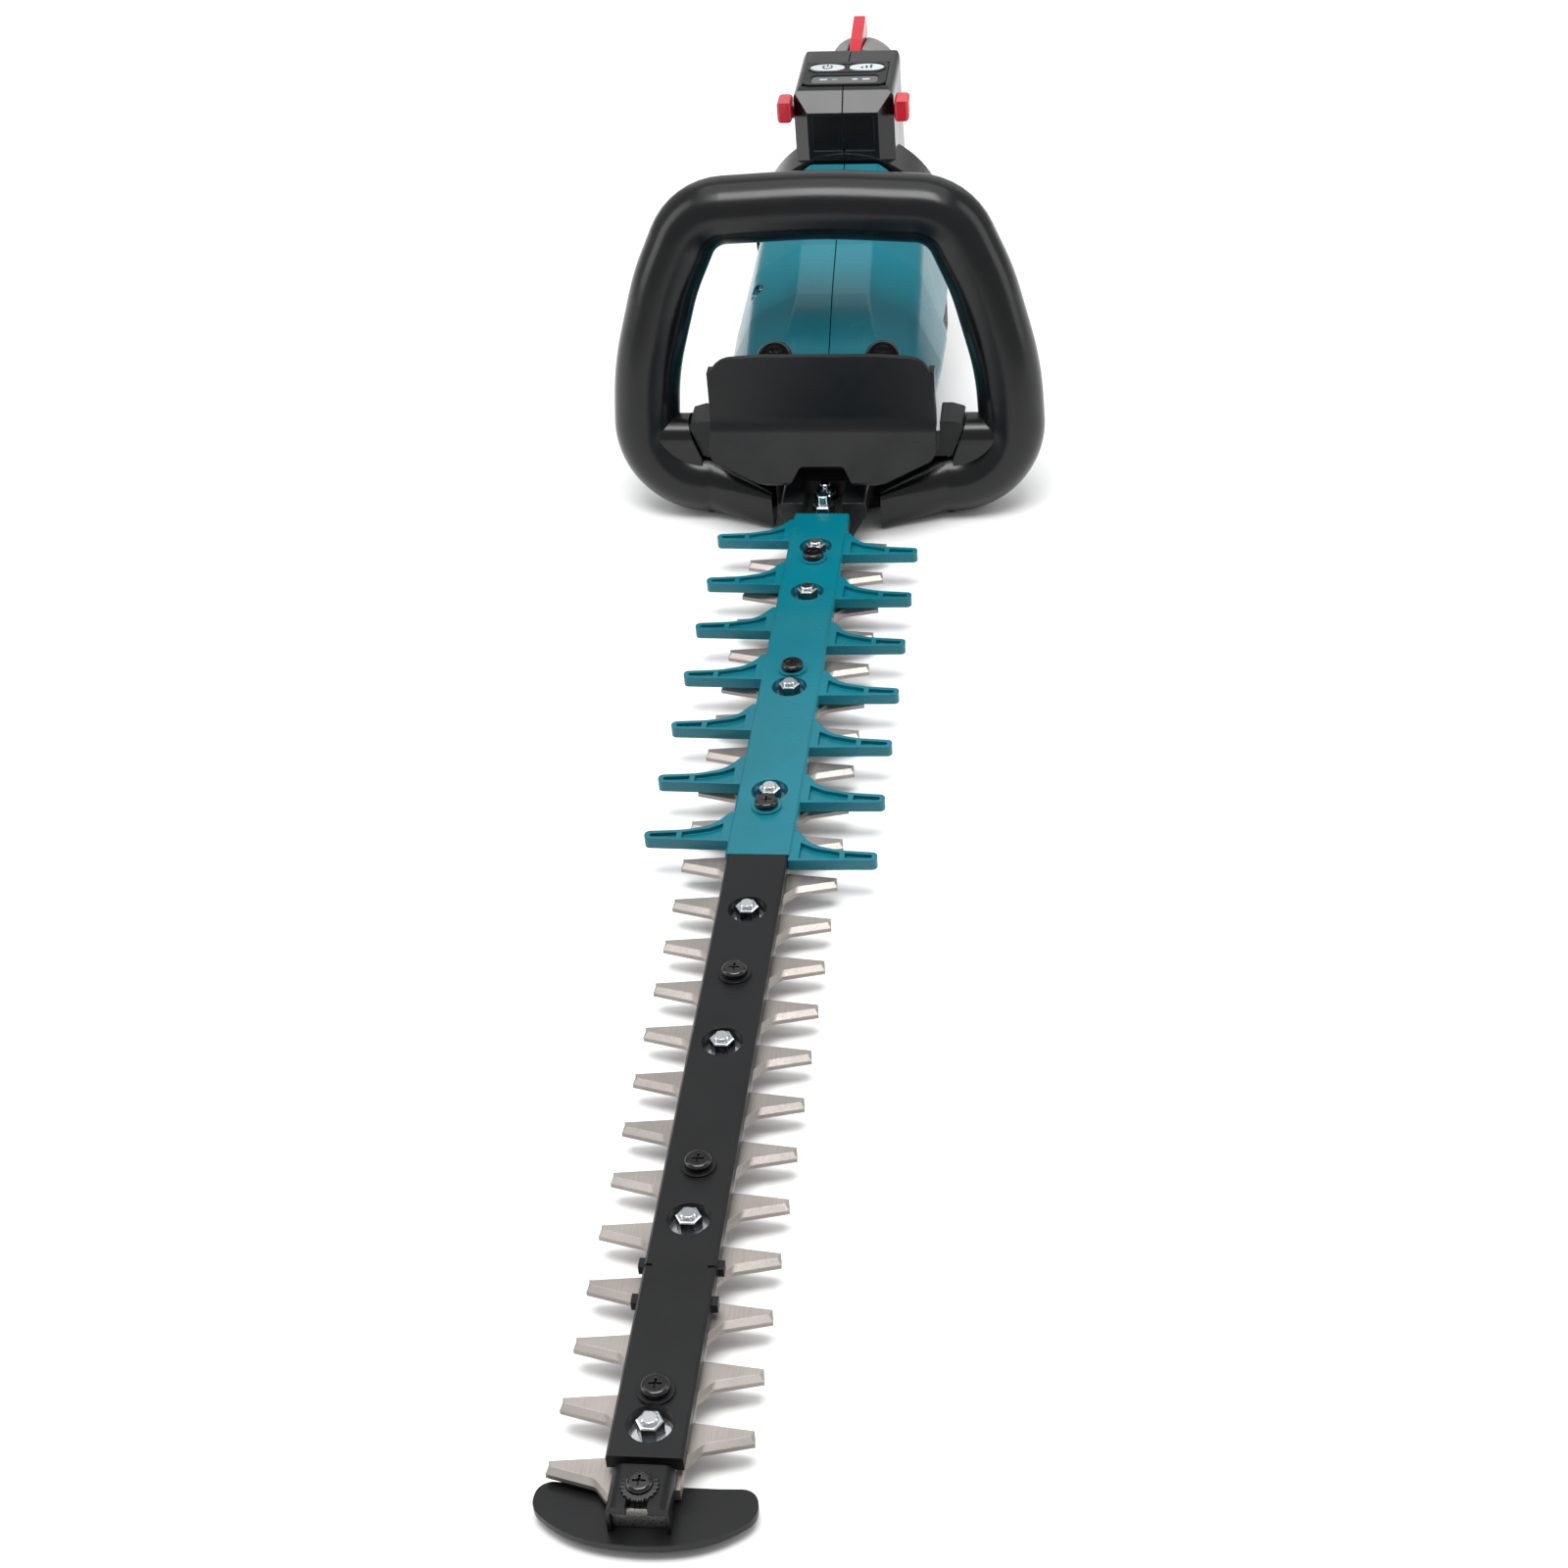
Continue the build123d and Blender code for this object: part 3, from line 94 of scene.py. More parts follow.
class Paint:
    """A node material with the few building blocks that the finishes below share."""

    def __init__(self, name, rough, metal=0.0, coat=0.0, coat_rough=0.08, specular=0.5):
        self.material = bpy.data.materials.new(name)
        self.material.use_nodes = True
        self.tree = self.material.node_tree
        self.shader = self.tree.nodes["Principled BSDF"]
        self.shader.inputs["Roughness"].default_value = rough
        self.shader.inputs["Metallic"].default_value = metal
        self.shader.inputs["Coat Weight"].default_value = coat
        self.shader.inputs["Coat Roughness"].default_value = coat_rough
        self.shader.inputs["Specular IOR Level"].default_value = specular
        coordinate = self.tree.nodes.new("ShaderNodeTexCoord")
        self.position = coordinate.outputs["Object"]

    def link(self, source, target):
        self.tree.links.new(source, target)

    def stretched(self, scale):
        """Object position scaled by axis."""
        mapping = self.tree.nodes.new("ShaderNodeMapping")
        mapping.inputs["Scale"].default_value = scale
        self.link(self.position, mapping.inputs["Vector"])
        return mapping.outputs["Vector"]

    def noise(self, scale, detail=3.0, stretch=(1, 1, 1)):
        texture = self.tree.nodes.new("ShaderNodeTexNoise")
        texture.inputs["Scale"].default_value = scale
        texture.inputs["Detail"].default_value = detail
        self.link(self.stretched(stretch), texture.inputs["Vector"])
        return texture.outputs["Fac"]

    def cells(self, scale):
        """Distance to the nearest cell centre, for moulded grain."""
        texture = self.tree.nodes.new("ShaderNodeTexVoronoi")
        texture.inputs["Scale"].default_value = scale
        self.link(self.position, texture.inputs["Vector"])
        return texture.outputs["Distance"]

    def bands(self, scale):
        """Even bands stacked along z."""
        texture = self.tree.nodes.new("ShaderNodeTexWave")
        texture.bands_direction = "Z"
        texture.inputs["Scale"].default_value = scale
        self.link(self.position, texture.inputs["Vector"])
        return texture.outputs["Fac"]

    def product(self, first, second):
        """Two shares multiplied together."""
        multiply = self.tree.nodes.new("ShaderNodeMath")
        multiply.operation = "MULTIPLY"
        self.link(first, multiply.inputs[0])
        self.link(second, multiply.inputs[1])
        return multiply.outputs[0]

    def span(self, value, low, high, to_low, to_high):
        """Value rescaled from one range to another, with its ends held."""
        scaled = self.tree.nodes.new("ShaderNodeMapRange")
        for socket, number in zip(scaled.inputs[1:5], (low, high, to_low, to_high)):
            socket.default_value = number
        self.link(value, scaled.inputs["Value"])
        return scaled.outputs["Result"]

    def blend(self, share, first, second):
        """Colour mixed from two; each is a colour or another node's output."""
        mix = self.tree.nodes.new("ShaderNodeMix")
        mix.data_type = "RGBA"
        self.link(share, mix.inputs[0])
        for socket, colour in ((mix.inputs[6], first), (mix.inputs[7], second)):
            if isinstance(colour, tuple):
                socket.default_value = colour
            else:
                self.link(colour, socket)
        return mix.outputs[2]

    def soft_edges(self, radius):
        """Normal rounded over at edges, and how strongly each point is an edge."""
        bevel = self.tree.nodes.new("ShaderNodeBevel")
        bevel.samples = 4
        bevel.inputs["Radius"].default_value = radius
        geometry = self.tree.nodes.new("ShaderNodeNewGeometry")
        dot = self.tree.nodes.new("ShaderNodeVectorMath")
        dot.operation = "DOT_PRODUCT"
        self.link(bevel.outputs["Normal"], dot.inputs[0])
        self.link(geometry.outputs["Normal"], dot.inputs[1])
        edge = self.span(dot.outputs["Value"], 0.995, 0.80, 0.0, 1.0)
        return bevel.outputs["Normal"], edge

    def relief(self, height, strength, depth, normal):
        """Bump from a height, on top of another normal."""
        bump = self.tree.nodes.new("ShaderNodeBump")
        bump.inputs["Strength"].default_value = strength
        bump.inputs["Distance"].default_value = depth
        self.link(height, bump.inputs["Height"])
        self.link(normal, bump.inputs["Normal"])
        return bump.outputs["Normal"]

    def finish(self, colour, roughness, normal):
        self.link(colour, self.shader.inputs["Base Color"])
        self.link(roughness, self.shader.inputs["Roughness"])
        self.link(normal, self.shader.inputs["Normal"])
        return self.material


def lighter(colour, gain):
    """Colour scaled by a gain and kept in range."""
    return tuple(min(channel * gain, 1.0) for channel in colour[:3]) + (1.0,)


def moulded(name, colour, rough, grain, grain_scale=1500.0, edge=MOULDED_EDGE, coat=0.0,
            specular=0.5):
    """Moulded plastic: fine grain, faint colour drift, and slightly paler rubbed edges."""
    paint = Paint(name, rough, coat=coat, specular=specular)
    drift = paint.span(paint.noise(14.0), 0.35, 0.65, 0.0, 1.0)
    body = paint.blend(drift, lighter(colour, 0.9), lighter(colour, 1.1))
    normal, edges = paint.soft_edges(edge)
    worn = paint.product(edges, paint.span(paint.noise(220.0), 0.45, 0.7, 0.0, 0.4))
    body = paint.blend(worn, body, lighter(tuple(c + 0.012 for c in colour), 1.6))
    normal = paint.relief(paint.cells(grain_scale), grain, 0.00012, normal)
    smudge = paint.noise(45.0, 5.0)
    return paint.finish(body, paint.span(smudge, 0.3, 0.7, rough * 0.86, rough * 1.14), normal)


def ground_metal(name, colour, rough, stretch, streaks, drift=0.12, painted_edge_light=1.3):
    """Metal with fine grinding lines along one axis, faint staining, and a painted highlight along
    its edges that turns into painted shade with a gain below one.
    """
    paint = Paint(name, rough, metal=1.0)
    lines = paint.noise(2600.0, 4.0, stretch)
    stain = paint.span(paint.noise(38.0, 5.0), 0.35, 0.65, 0.0, 1.0)
    body = paint.blend(stain, lighter(colour, 1.0 - drift), lighter(colour, 1.0 + drift))
    body = paint.blend(paint.span(lines, 0.3, 0.75, 0.0, 0.35), body, lighter(colour, 0.78))
    normal, edges = paint.soft_edges(FINE_EDGE)
    # Painted light on every edge: a gain above one paints a highlight there, a gain below one
    # paints shade.
    body = paint.blend(paint.span(edges, 0.0, 1.0, 0.0, 0.7), body, lighter(colour, painted_edge_light))
    normal = paint.relief(lines, streaks, 0.00006, normal)
    return paint.finish(body, paint.span(lines, 0.3, 0.7, rough * 0.8, rough * 1.2), normal)


def coated_metal(name, colour, rough, texture):
    """Painted or black-coated metal with a slightly rippled surface and bare specks at edges."""
    paint = Paint(name, rough, metal=0.25, coat=0.35)
    ripple = paint.noise(700.0, 4.0)
    normal, edges = paint.soft_edges(COATED_EDGE)
    bare = paint.product(edges, paint.span(paint.noise(520.0, 2.0), 0.5, 0.62, 0.0, 0.6))
    drift = paint.span(paint.noise(20.0), 0.3, 0.7, 0.0, 1.0)
    body = paint.blend(drift, lighter(colour, 0.85), lighter(colour, 1.15))
    body = paint.blend(bare, body, srgb(120, 120, 120))
    normal = paint.relief(ripple, texture, 0.0001, normal)
    return paint.finish(body, paint.span(ripple, 0.3, 0.7, rough * 0.85, rough * 1.15), normal)


def wound_wire(name, colour):
    """Enamelled wire laid in close turns, with painted shade in the grooves between turns and a
    painted highlight on their crests.
    """
    paint = Paint(name, 0.28, metal=0.9, coat=0.6)
    turns = paint.bands(420.0)
    normal, _ = paint.soft_edges(COATED_EDGE)
    # Painted shade darkens the grooves between turns and a painted highlight lightens their crests.
    body = paint.blend(turns, lighter(colour, 0.45), lighter(colour, 1.1))
    normal = paint.relief(turns, 0.8, 0.0003, normal)
    return paint.finish(body, paint.span(turns, 0.0, 1.0, 0.45, 0.25), normal)


def stacked_sheets(name, colour):
    """Laminated steel: thin sheets seen edge on."""
    paint = Paint(name, 0.45, metal=0.7)
    sheets = paint.bands(560.0)
    normal, _ = paint.soft_edges(FINE_EDGE)
    body = paint.blend(sheets, lighter(colour, 0.6), lighter(colour, 1.5))
    normal = paint.relief(sheets, 0.5, 0.0001, normal)
    return paint.finish(body, paint.span(paint.noise(60.0), 0.3, 0.7, 0.38, 0.52), normal)


def lacquered_board(name, colour):
    """Circuit board with faint tracks under lacquer."""
    paint = Paint(name, 0.3, coat=0.5)
    brick = paint.tree.nodes.new("ShaderNodeTexBrick")
    brick.inputs["Scale"].default_value = 260.0
    brick.inputs["Color1"].default_value = colour
    brick.inputs["Color2"].default_value = lighter(colour, 1.5)
    brick.inputs["Mortar"].default_value = lighter(colour, 0.6)
    paint.link(paint.position, brick.inputs["Vector"])
    normal, _ = paint.soft_edges(FINE_EDGE)
    normal = paint.relief(brick.outputs["Fac"], 0.2, 0.0001, normal)
    haze = paint.span(paint.noise(80.0), 0.3, 0.7, 0.25, 0.38)
    return paint.finish(brick.outputs["Color"], haze, normal)


def polished_window(name, colour):
    """Dark polished window with a very faint haze."""
    paint = Paint(name, 0.08, coat=0.8, coat_rough=0.03)
    haze = paint.noise(160.0, 4.0)
    normal, _ = paint.soft_edges(COATED_EDGE)
    body = paint.blend(paint.span(haze, 0.4, 0.7, 0.0, 1.0), colour, lighter(colour, 1.5))
    normal = paint.relief(haze, 0.03, 0.0001, normal)
    return paint.finish(body, paint.span(haze, 0.3, 0.7, 0.06, 0.14), normal)


FINISHES = {
    # The blade's edges are painted darker as shade on its tooth bevels; bar, zinc and gear steel
    # keep the painted edge highlight.
    "blade_steel": ground_metal("blade_steel", srgb(158, 152, 147), 0.52, (1, 0.03, 1), 0.3,
                                painted_edge_light=0.7),
    "bar_steel": ground_metal("bar_steel", srgb(184, 182, 178), 0.30, (1, 0.02, 1), 0.25),
    "zinc_steel": ground_metal("zinc_steel", srgb(206, 210, 214), 0.16, (1, 1, 0.05), 0.10,
                               drift=0.06),
    "black_steel": coated_metal("black_steel", srgb(12, 12, 14), 0.16, 0.06),
    "gear_steel": ground_metal("gear_steel", srgb(170, 170, 172), 0.34, (0.3, 1, 1), 0.2),
    "lamination": stacked_sheets("lamination", srgb(78, 80, 84)),
    "copper": wound_wire("copper", srgb(206, 122, 70)),
    "cast_metal": coated_metal("cast_metal", srgb(24, 24, 26), 0.42, 0.45),
    "black_plastic": moulded("black_plastic", srgb(12, 13, 15), 0.36, 0.16, specular=0.28),
    "satin_black_plastic": moulded("satin_black_plastic", srgb(9, 10, 12), 0.22, 0.04, 1900.0,
                                   specular=0.36),
    "teal_plastic": moulded("teal_plastic", srgb(0, 98, 112), 0.26, 0.04, 1200.0, coat=0.10,
                            specular=0.35),
    "red_plastic": moulded("red_plastic", srgb(176, 16, 34), 0.30, 0.06, edge=FINE_EDGE,
                           coat=0.4),
    "white_plastic": moulded("white_plastic", srgb(178, 184, 187), 0.30, 0.05, edge=FINE_EDGE),
    "dark_lens": polished_window("dark_lens", srgb(12, 13, 15)),
    "circuit_board": lacquered_board("circuit_board", srgb(18, 92, 54)),
}
GREY_RUBBER = moulded("grey_rubber", srgb(122, 120, 119), 0.70, 0.35, 1400.0, specular=0.25)
MARK_GREY = moulded("mark_grey", srgb(34, 38, 42), 0.45, 0.05, edge=MARK_EDGE)
LAMP_WHITE = moulded("lamp_white", srgb(180, 188, 192), 0.25, 0.03, edge=MARK_EDGE)
LAMP_GREEN = moulded("lamp_green", srgb(84, 160, 94), 0.25, 0.03, edge=MARK_EDGE)

for subpart in frame["record"]["subparts"]:
    shown = frame["nodes"][subpart["node"]]
    shown.data.materials.clear()
    shown.data.materials.append(FINISHES[subpart["material_slot"]])


# ---------------------------------------------------------------- mesh helpers


def add_piece(name, vertices, faces, material, body, bevel=0.0, smooth=True):
    """Makes a piece from points in the tool's millimetres and rides it on a body."""
    mesh = bpy.data.meshes.new(name)
    mesh.from_pydata([place(*vertex) for vertex in vertices], [], faces)
    mesh.validate()
    sheet = bmesh.new()
    sheet.from_mesh(mesh)
    bmesh.ops.recalc_face_normals(sheet, faces=sheet.faces)
    sheet.to_mesh(mesh)
    sheet.free()
    for face in mesh.polygons:
        face.use_smooth = smooth
    piece = bpy.data.objects.new(name, mesh)
    bpy.context.scene.collection.objects.link(piece)
    mesh.materials.append(material)
    if bevel:
        rounding = piece.modifiers.new("rounding", "BEVEL")
        rounding.width = bevel * MM
        rounding.segments = 3
        rounding.limit_method = "ANGLE"
        rounding.harden_normals = True
    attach(piece, body)
    return piece


class Shape:
    """Points and faces gathered from several simple forms into one mesh."""

    def __init__(self):
        self.points = []
        self.faces = []

    def prism(self, outline, low, high, turn=lambda x, y, z: (x, y, z)):
        """Outline of (x, y) points raised from low to high, then turned into place."""
        start = len(self.points)
        count = len(outline)
        for level in (low, high):
            self.points += [turn(x, y, level) for x, y in outline]
        self.faces.append(tuple(reversed(range(start, start + count))))
        self.faces.append(tuple(range(start + count, start + 2 * count)))
        for i in range(count):
            j = (i + 1) % count
            self.faces.append((start + i, start + j, start + count + j, start + count + i))

    def band(self, rings):
        """Skin over closed rings of the same number of points."""
        start = len(self.points)
        count = len(rings[0])
        for ring in rings:
            self.points += ring
        for level in range(len(rings) - 1):
            for i in range(count):
                j = (i + 1) % count
                a = start + level * count
                b = a + count
                self.faces.append((a + i, a + j, b + j, b + i))

    def loop(self, rings):
        """Skin over rings that also joins the last ring to the first."""
        self.band(rings + [rings[0]])


def rounded_bar(half_x, half_y, radius, steps=5):
    """Outline of a rounded rectangle centred on the origin."""
    outline = []
    for quarter, (sx, sy) in enumerate(((1, 1), (-1, 1), (-1, -1), (1, -1))):
        for step in range(steps + 1):
            angle = (quarter + step / steps) * pi / 2
            x = sx * (half_x - radius) + radius * cos(angle)
            y = sy * (half_y - radius) + radius * sin(angle)
            outline.append((x, y))
    return outline


def moved(outline, x, y):
    return [(px + x, py + y) for px, py in outline]


# ---------------------------------------------------------------- details of the cutter bar

NUT_YS = centres_along("blade_nuts")
NUT_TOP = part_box("blade_nuts")[1].z / MM - COVER_TOP
STUD_CHAMFER = 0.4
STUD_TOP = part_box("blade_bolts")[1].z / MM - COVER_TOP - STUD_CHAMFER
STUD_R = 3.0
THREAD_PITCH = 1.0
THREAD_END = 0.3
RIDGE_ROOT = 0.15
RIDGE_RISE = 0.3
TURN_STEPS = 16
FADE_STEPS = 4


def thread(shape, y, low, high):
    """A raised helical thread ridge around an upright stud at y."""
    turns = (high - low - THREAD_END) / THREAD_PITCH
    count = int(turns * TURN_STEPS)
    root = STUD_R - RIDGE_ROOT
    rings = []
    for number in range(count + 1):
        angle = 2 * pi * number / TURN_STEPS
        z = low + THREAD_PITCH * number / TURN_STEPS
        fade = min(1.0, number / FADE_STEPS, (count - number) / FADE_STEPS)
        crest = STUD_R - 0.05 + RIDGE_RISE * fade
        section = ((root, z), (crest, z + 0.12), (crest, z + 0.2), (root, z + 0.32))
        rings.append([(r * cos(angle), y + r * sin(angle), level) for r, level in section])
    shape.band(rings)


def bolt_threads():
    """Thread turns on the stud ends that stand above the nuts."""
    shape = Shape()
    for y in NUT_YS:
        thread(shape, y, NUT_TOP - 0.1, STUD_TOP)
    add_piece("bolt_threads", shape.points, shape.faces, FINISHES["zinc_steel"], "cutter_frame")


WASHER_INNER, WASHER_OUTER = 4.45, 6.5
WASHER_FOOT, WASHER_RIM, WASHER_CROWN = -1.95, -1.1, -0.9
WASHER_TEETH = 22
TOOTH_POINTS = 4
TOOTH_BITE = 0.45


def toothed_washer():
    """Serrated washer under the tip screw's head."""
    shape = Shape()
    _, centre_y = middle("tip_screw")
    count = WASHER_TEETH * TOOTH_POINTS
    rings = []
    for radius, z in ((WASHER_INNER, WASHER_FOOT), (WASHER_OUTER, WASHER_FOOT),
                      (WASHER_OUTER, WASHER_RIM), (WASHER_INNER, WASHER_CROWN)):
        ring = []
        for number in range(count):
            angle = 2 * pi * number / count
            gullet = radius == WASHER_OUTER and number % TOOTH_POINTS < TOOTH_POINTS / 2
            r = radius - (TOOTH_BITE if gullet else 0.0)
            ring.append((r * cos(angle), centre_y + r * sin(angle), z))
        rings.append(ring)
    shape.loop(rings)
    add_piece("tip_screw_washer", shape.points, shape.faces, FINISHES["black_steel"],
              "cutter_frame", bevel=0.12, smooth=False)


# ---------------------------------------------------------------- details of the rear handle

GRIP_START, GRIP_END = 868.5, 955.0
LEVER_SLOT_END = 920.0
LEVER_SLOT_HALF = 4.2
GRIP_SIDE = 15.0
GRIP_ROUND = 12.0
GRIP_FLAT = GRIP_SIDE - GRIP_ROUND
ABOVE_GRIP = 260.0
PAD_REACH = 24.0
PAD_BASE = 0.1
PAD_LIFT = 0.9
PAD_SINK = 0.6
PAD_STEP = 0.75
PAD_FADE = 4.0
PAD_POINTS = 20
RIBS_START = 922.0
RIB_PITCH = 6.0
RIB_HEIGHT = 0.25


def grip_top(y):
    """Height of the grip's top surface at y, found on the CAD handle."""
    handle = frame["nodes"]["rear_handle_right"]
    start = place(LEVER_SLOT_HALF, y, ABOVE_GRIP)
    hit, point, _, _ = handle.ray_cast(start, Vector((0, 0, -1)))
    if not hit:
        raise ValueError(f"the grip has no top at y = {y}")
    return point.z / MM - COVER_TOP


def grip_skin(reach, lift):
    """Point (x, drop) on the raised half section of the grip, a distance round from its middle."""
    if reach < GRIP_FLAT:
        return reach, -lift
    turned = (reach - GRIP_FLAT) / GRIP_ROUND
    if turned < pi / 2:
        raised = GRIP_ROUND + lift
        return GRIP_FLAT + raised * sin(turned), GRIP_ROUND - raised * cos(turned)
    return GRIP_SIDE + lift, reach - GRIP_FLAT - GRIP_ROUND * pi / 2 + GRIP_ROUND


def grip_pad():
    """Soft ribbed pad over the top and sides of the rear grip, with a slot for the lever."""
    shape = Shape()
    count = int((GRIP_END - GRIP_START) / PAD_STEP)
    stations = [GRIP_START + PAD_STEP * number for number in range(count + 1)]
    tops = {y: grip_top(y) for y in stations}
    for sign in (-1, 1):
        rings = []
        for y in stations:
            ends = max(0.0, min((y - GRIP_START) / PAD_FADE, (GRIP_END - y) / PAD_FADE, 1.0))
            wave = max(0.0, sin(2 * pi * (y - RIBS_START) / RIB_PITCH))
            rib = RIB_HEIGHT * wave if y > RIBS_START else 0.0
            slot_side = LEVER_SLOT_HALF if y < LEVER_SLOT_END else 0.0
            outer, under = [], []
            for number in range(PAD_POINTS + 1):
                share = number / PAD_POINTS
                reach = slot_side + (PAD_REACH - slot_side) * share
                lift = PAD_BASE + (PAD_LIFT * sqrt(ends) + rib * ends) * (1.0 - share ** 8)
                x, drop = grip_skin(reach, lift)
                outer.append((sign * x, y, tops[y] - drop))
                x, drop = grip_skin(reach, -PAD_SINK)
                under.append((sign * x, y, tops[y] - drop))
            rings.append(outer + list(reversed(under)))
        shape.band(rings)
        size = len(rings[0])
        end = len(shape.points)
        start = end - size * len(rings)
        shape.faces.append(tuple(range(end - size, end)))
        shape.faces.append(tuple(reversed(range(start, start + size))))
    add_piece("grip_pad", shape.points, shape.faces, GREY_RUBBER, "rear_handle")


MARK_SINK = 0.1
MARK_HEIGHT = 0.12
RING_R, RING_WIDTH = 2.5, 0.75
RING_START, RING_END = 125, 415
BAR_PITCH = 2.4
BAR_ROUND = 0.3
LAMP_Y = 811.0
LAMP_XS = (-11.5, -5.5, 5.5, 11.5)
LAMP_HEIGHT = 0.1


def arc_band(shape, x, y, radius, width, start, end, low, high, steps=22):
    """Flat curved bar between two angles in degrees."""
    outline = []
    out_and_back = ((radius + width / 2, range(steps + 1)),
                    (radius - width / 2, range(steps, -1, -1)))
    for r, order in out_and_back:
        for step in order:
            angle = radians(start + (end - start) * step / steps)
            outline.append((x + r * cos(angle), y + r * sin(angle)))
    shape.prism(outline, low, high)


def button_marks():
    """Plain raised marks on the two buttons: an on-off ring and three rising bars."""
    low, high = BUTTON_TOP - MARK_SINK, BUTTON_TOP + MARK_HEIGHT
    power = Shape()
    x, y = middle("power_button")
    arc_band(power, x, y, RING_R, RING_WIDTH, RING_START, RING_END, low, high)
    power.prism(moved(rounded_bar(0.4, 1.5, BAR_ROUND, 3), x, y + 1.7), low, high)
    add_piece("power_mark", power.points, power.faces, MARK_GREY, "power_button",
              smooth=False)
    mode = Shape()
    x, y = middle("mode_button")
    for number, length in enumerate((1.0, 1.7, 2.4)):
        bar_x = x - BAR_PITCH + BAR_PITCH * number
        bar = moved(rounded_bar(0.6, length, BAR_ROUND, 3), bar_x, y - BAR_PITCH + length)
        mode.prism(bar, low, high)
    add_piece("mode_mark", mode.points, mode.faces, MARK_GREY, "mode_button",
              smooth=False)


def indicator_marks():
    """Lamp marks that show through the indicator window."""
    for number, x in enumerate(LAMP_XS):
        mark = Shape()
        half = 2.1 if x in (LAMP_XS[0], LAMP_XS[-1]) else 1.5
        outline = moved(rounded_bar(half, 0.8, 0.5, 4), x, LAMP_Y)
        mark.prism(outline, LENS_TOP - MARK_SINK, LENS_TOP + LAMP_HEIGHT)
        paint = LAMP_GREEN if number == 1 else LAMP_WHITE
        add_piece(f"indicator_lamp_{number + 1}", mark.points, mark.faces, paint, "rear_handle",
                  smooth=False)


SURROUND_HALF_X, SURROUND_HALF_Y = 20.4, 5.2


def button_surround():
    """Raised rim around both buttons."""
    shape = Shape()
    _, centre_y = middle("power_button")
    rings = []
    for grow, rise in ((0.0, -0.3), (0.0, 0.35), (0.3, 0.55), (0.9, 0.55), (1.2, 0.3), (1.2, -0.3)):
        half_y = SURROUND_HALF_Y + grow
        rim = rounded_bar(SURROUND_HALF_X + grow, half_y, half_y - 0.01, 9)
        rings.append([(x, y + centre_y, PANEL_TOP + rise) for x, y in rim])
    shape.loop(rings)
    add_piece("button_surround", shape.points, shape.faces, FINISHES["satin_black_plastic"],
              "rear_handle")


# ---------------------------------------------------------------- details of the housing

SEAL_Y, SEAL_Z = 788.6, 60.0
SEAL_R, SEAL_THICK = 43.0, 1.0
SEAL_STEPS, SEAL_SIDES = 72, 8


def swivel_seal():
    """Rubber ring in the gap between the housing and the rear handle's disc."""
    shape = Shape()
    rings = []
    for number in range(SEAL_STEPS):
        angle = 2 * pi * number / SEAL_STEPS
        ring = []
        for side in range(SEAL_SIDES):
            tilt = 2 * pi * side / SEAL_SIDES
            r = SEAL_R + SEAL_THICK * cos(tilt)
            y = SEAL_Y + SEAL_THICK * sin(tilt)
            ring.append((r * cos(angle), y, SEAL_Z + r * sin(angle)))
        rings.append(ring)
    shape.loop(rings)
    add_piece("swivel_seal", shape.points, shape.faces, FINISHES["black_plastic"], "cutter_frame")


WIRE_HALF = 0.22
WIRE_PITCH = 2.2
UPRIGHT_X, LEVEL_X = 50.2, 50.5
UPRIGHTS, LEVELS = 17, 9
SCREEN_Y = (734.0, 772.0)
SCREEN_Z = (19.0, 39.0)


def vent_screens():
    """Fine wire screen behind each vent grille."""
    shape = Shape()
    wire = rounded_bar(WIRE_HALF, WIRE_HALF, 0.1, 2)
    for sign in (-1, 1):
        for number in range(UPRIGHTS):
            y = SCREEN_Y[0] + 1.0 + number * WIRE_PITCH
            shape.prism(wire, *SCREEN_Z, lambda u, v, w: (sign * (UPRIGHT_X + u), y + v, w))
        for number in range(LEVELS):
            z = SCREEN_Z[0] + 1.0 + number * WIRE_PITCH
            shape.prism(wire, *SCREEN_Y, lambda u, v, w: (sign * (LEVEL_X + u), w, z + v))
    add_piece("vent_screens", shape.points, shape.faces, FINISHES["black_steel"], "cutter_frame")


# ---------------------------------------------------------------- stage

FLOOR_HALF = 9.0
FLOOR_DROP = 0.0005
WORLD_STRENGTH = 0.50
# Name, place, aim, width and depth in metres, power in watts.
LIGHTS = (
    ("box_key", (0.05, -0.40, 1.75), (0.0, 0.15, 0.1), 1.2, 0.7, 24.0),
    ("box_over", (0.0, 0.1, 2.6), (0.0, 0.1, 0.0), 3.0, 3.0, 42.0),
    ("box_left", (-1.6, -0.2, 0.9), (0.0, 0.1, 0.08), 0.7, 1.6, 9.0),
    ("box_right", (1.6, 0.1, 0.8), (0.0, 0.1, 0.08), 0.7, 1.6, 6.0),
    ("wall_rear", (0.0, 2.6, 1.5), (0.0, 0.2, 0.1), 3.2, 1.8, 7.0),
)
EYE = (154.155, -566.426, 695.942)
AZIMUTH, DOWN, ROLL = radians(-7.75), radians(36.37), radians(-3.92)
SENSOR_WIDTH = 36.0
FOCAL_LENGTH = 61.53
SIDE_SHIFT = -0.0303


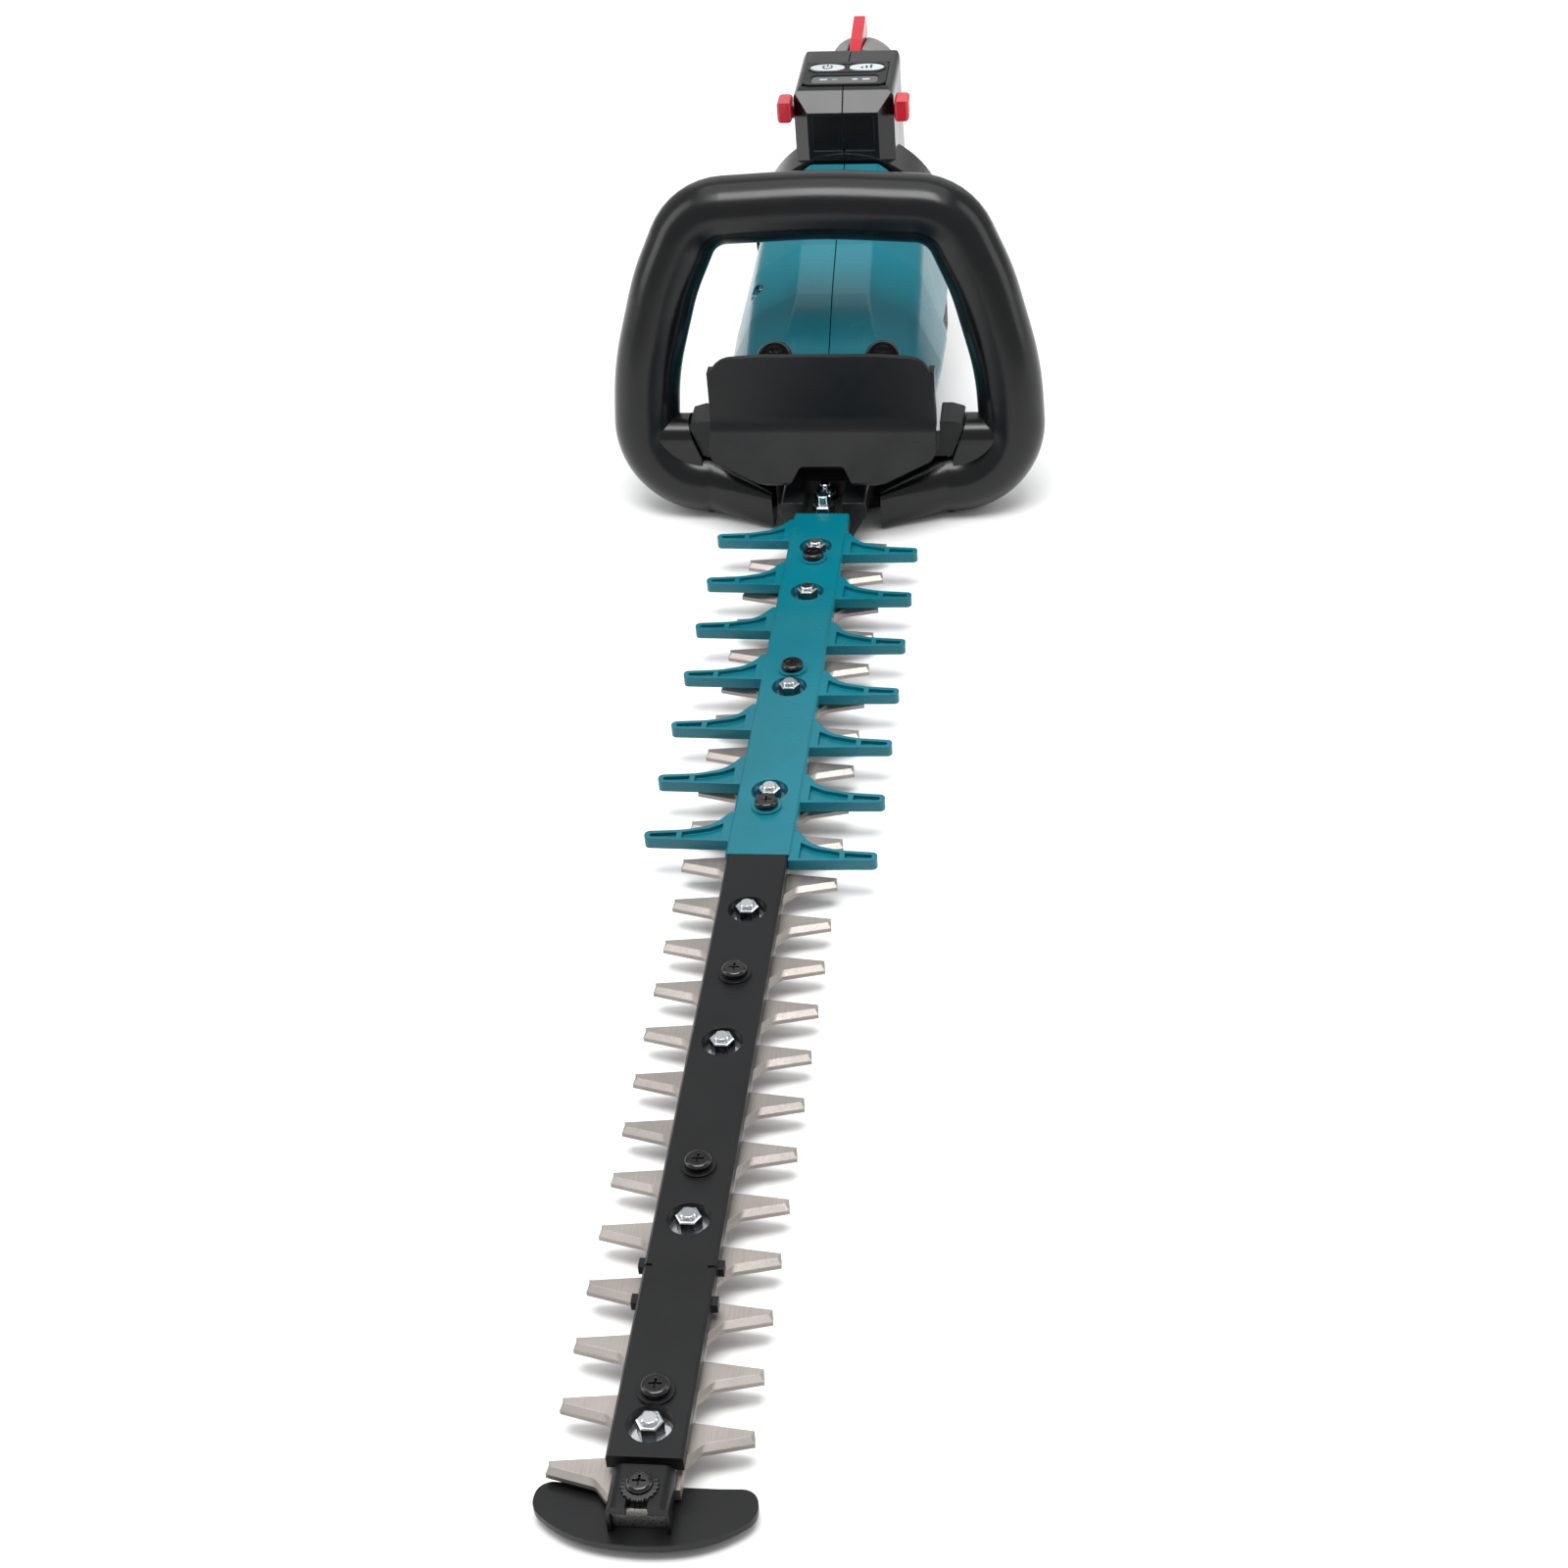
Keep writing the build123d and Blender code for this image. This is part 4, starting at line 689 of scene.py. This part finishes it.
def floor():
    """Large pale floor with a faint drift in tone."""
    mesh = bpy.data.meshes.new("floor")
    corners = [(x * FLOOR_HALF, y * FLOOR_HALF, -FLOOR_DROP)
               for x, y in ((-1, -1), (1, -1), (1, 1), (-1, 1))]
    mesh.from_pydata(corners, [], [(0, 1, 2, 3)])
    ground = bpy.data.objects.new("floor", mesh)
    bpy.context.scene.collection.objects.link(ground)
    paint = Paint("floor_paint", 0.6)
    colour = paint.blend(paint.noise(3.0), (0.84, 0.84, 0.84, 1), (0.87, 0.87, 0.87, 1))
    paint.link(colour, paint.shader.inputs["Base Color"])
    mesh.materials.append(paint.material)


def softbox(name, location, target, width, depth, power):
    """Rectangular area light aimed at a point."""
    light = bpy.data.lights.new(name, "AREA")
    light.shape = "RECTANGLE"
    light.size = width
    light.size_y = depth
    light.energy = power
    lamp = bpy.data.objects.new(name, light)
    lamp.location = location
    aim = Vector(target) - Vector(location)
    lamp.rotation_euler = aim.to_track_quat("-Z", "Y").to_euler()
    bpy.context.scene.collection.objects.link(lamp)


def studio():
    """White surroundings, with soft boxes above, at both sides and behind."""
    world = bpy.data.worlds.new("studio")
    world.use_nodes = True
    background = world.node_tree.nodes["Background"]
    background.inputs["Color"].default_value = (1, 1, 1, 1)
    background.inputs["Strength"].default_value = WORLD_STRENGTH
    bpy.context.scene.world = world
    bpy.context.scene.view_settings.view_transform = "Standard"
    for row in LIGHTS:
        softbox(*row)


def camera():
    """Camera above and in front of the blade tip, looking along the tool and down."""
    ahead = Vector((sin(AZIMUTH) * cos(DOWN), cos(AZIMUTH) * cos(DOWN), -sin(DOWN)))
    level = Vector((cos(AZIMUTH), -sin(AZIMUTH), 0.0))
    upright = level.cross(ahead)
    right = level * cos(ROLL) + upright * sin(ROLL)
    up = upright * cos(ROLL) - level * sin(ROLL)
    data = bpy.data.cameras.new("camera")
    data.sensor_width = SENSOR_WIDTH
    data.lens = FOCAL_LENGTH
    data.shift_x = SIDE_SHIFT
    data.clip_start = 0.01
    eye = bpy.data.objects.new("camera", data)
    turn = Matrix((right, up, -ahead)).transposed()
    eye.matrix_world = Matrix.Translation(place(*EYE)) @ turn.to_4x4()
    bpy.context.scene.collection.objects.link(eye)
    bpy.context.scene.camera = eye


bolt_threads()
toothed_washer()
grip_pad()
button_marks()
indicator_marks()
button_surround()
swivel_seal()
vent_screens()
floor()
studio()
camera()
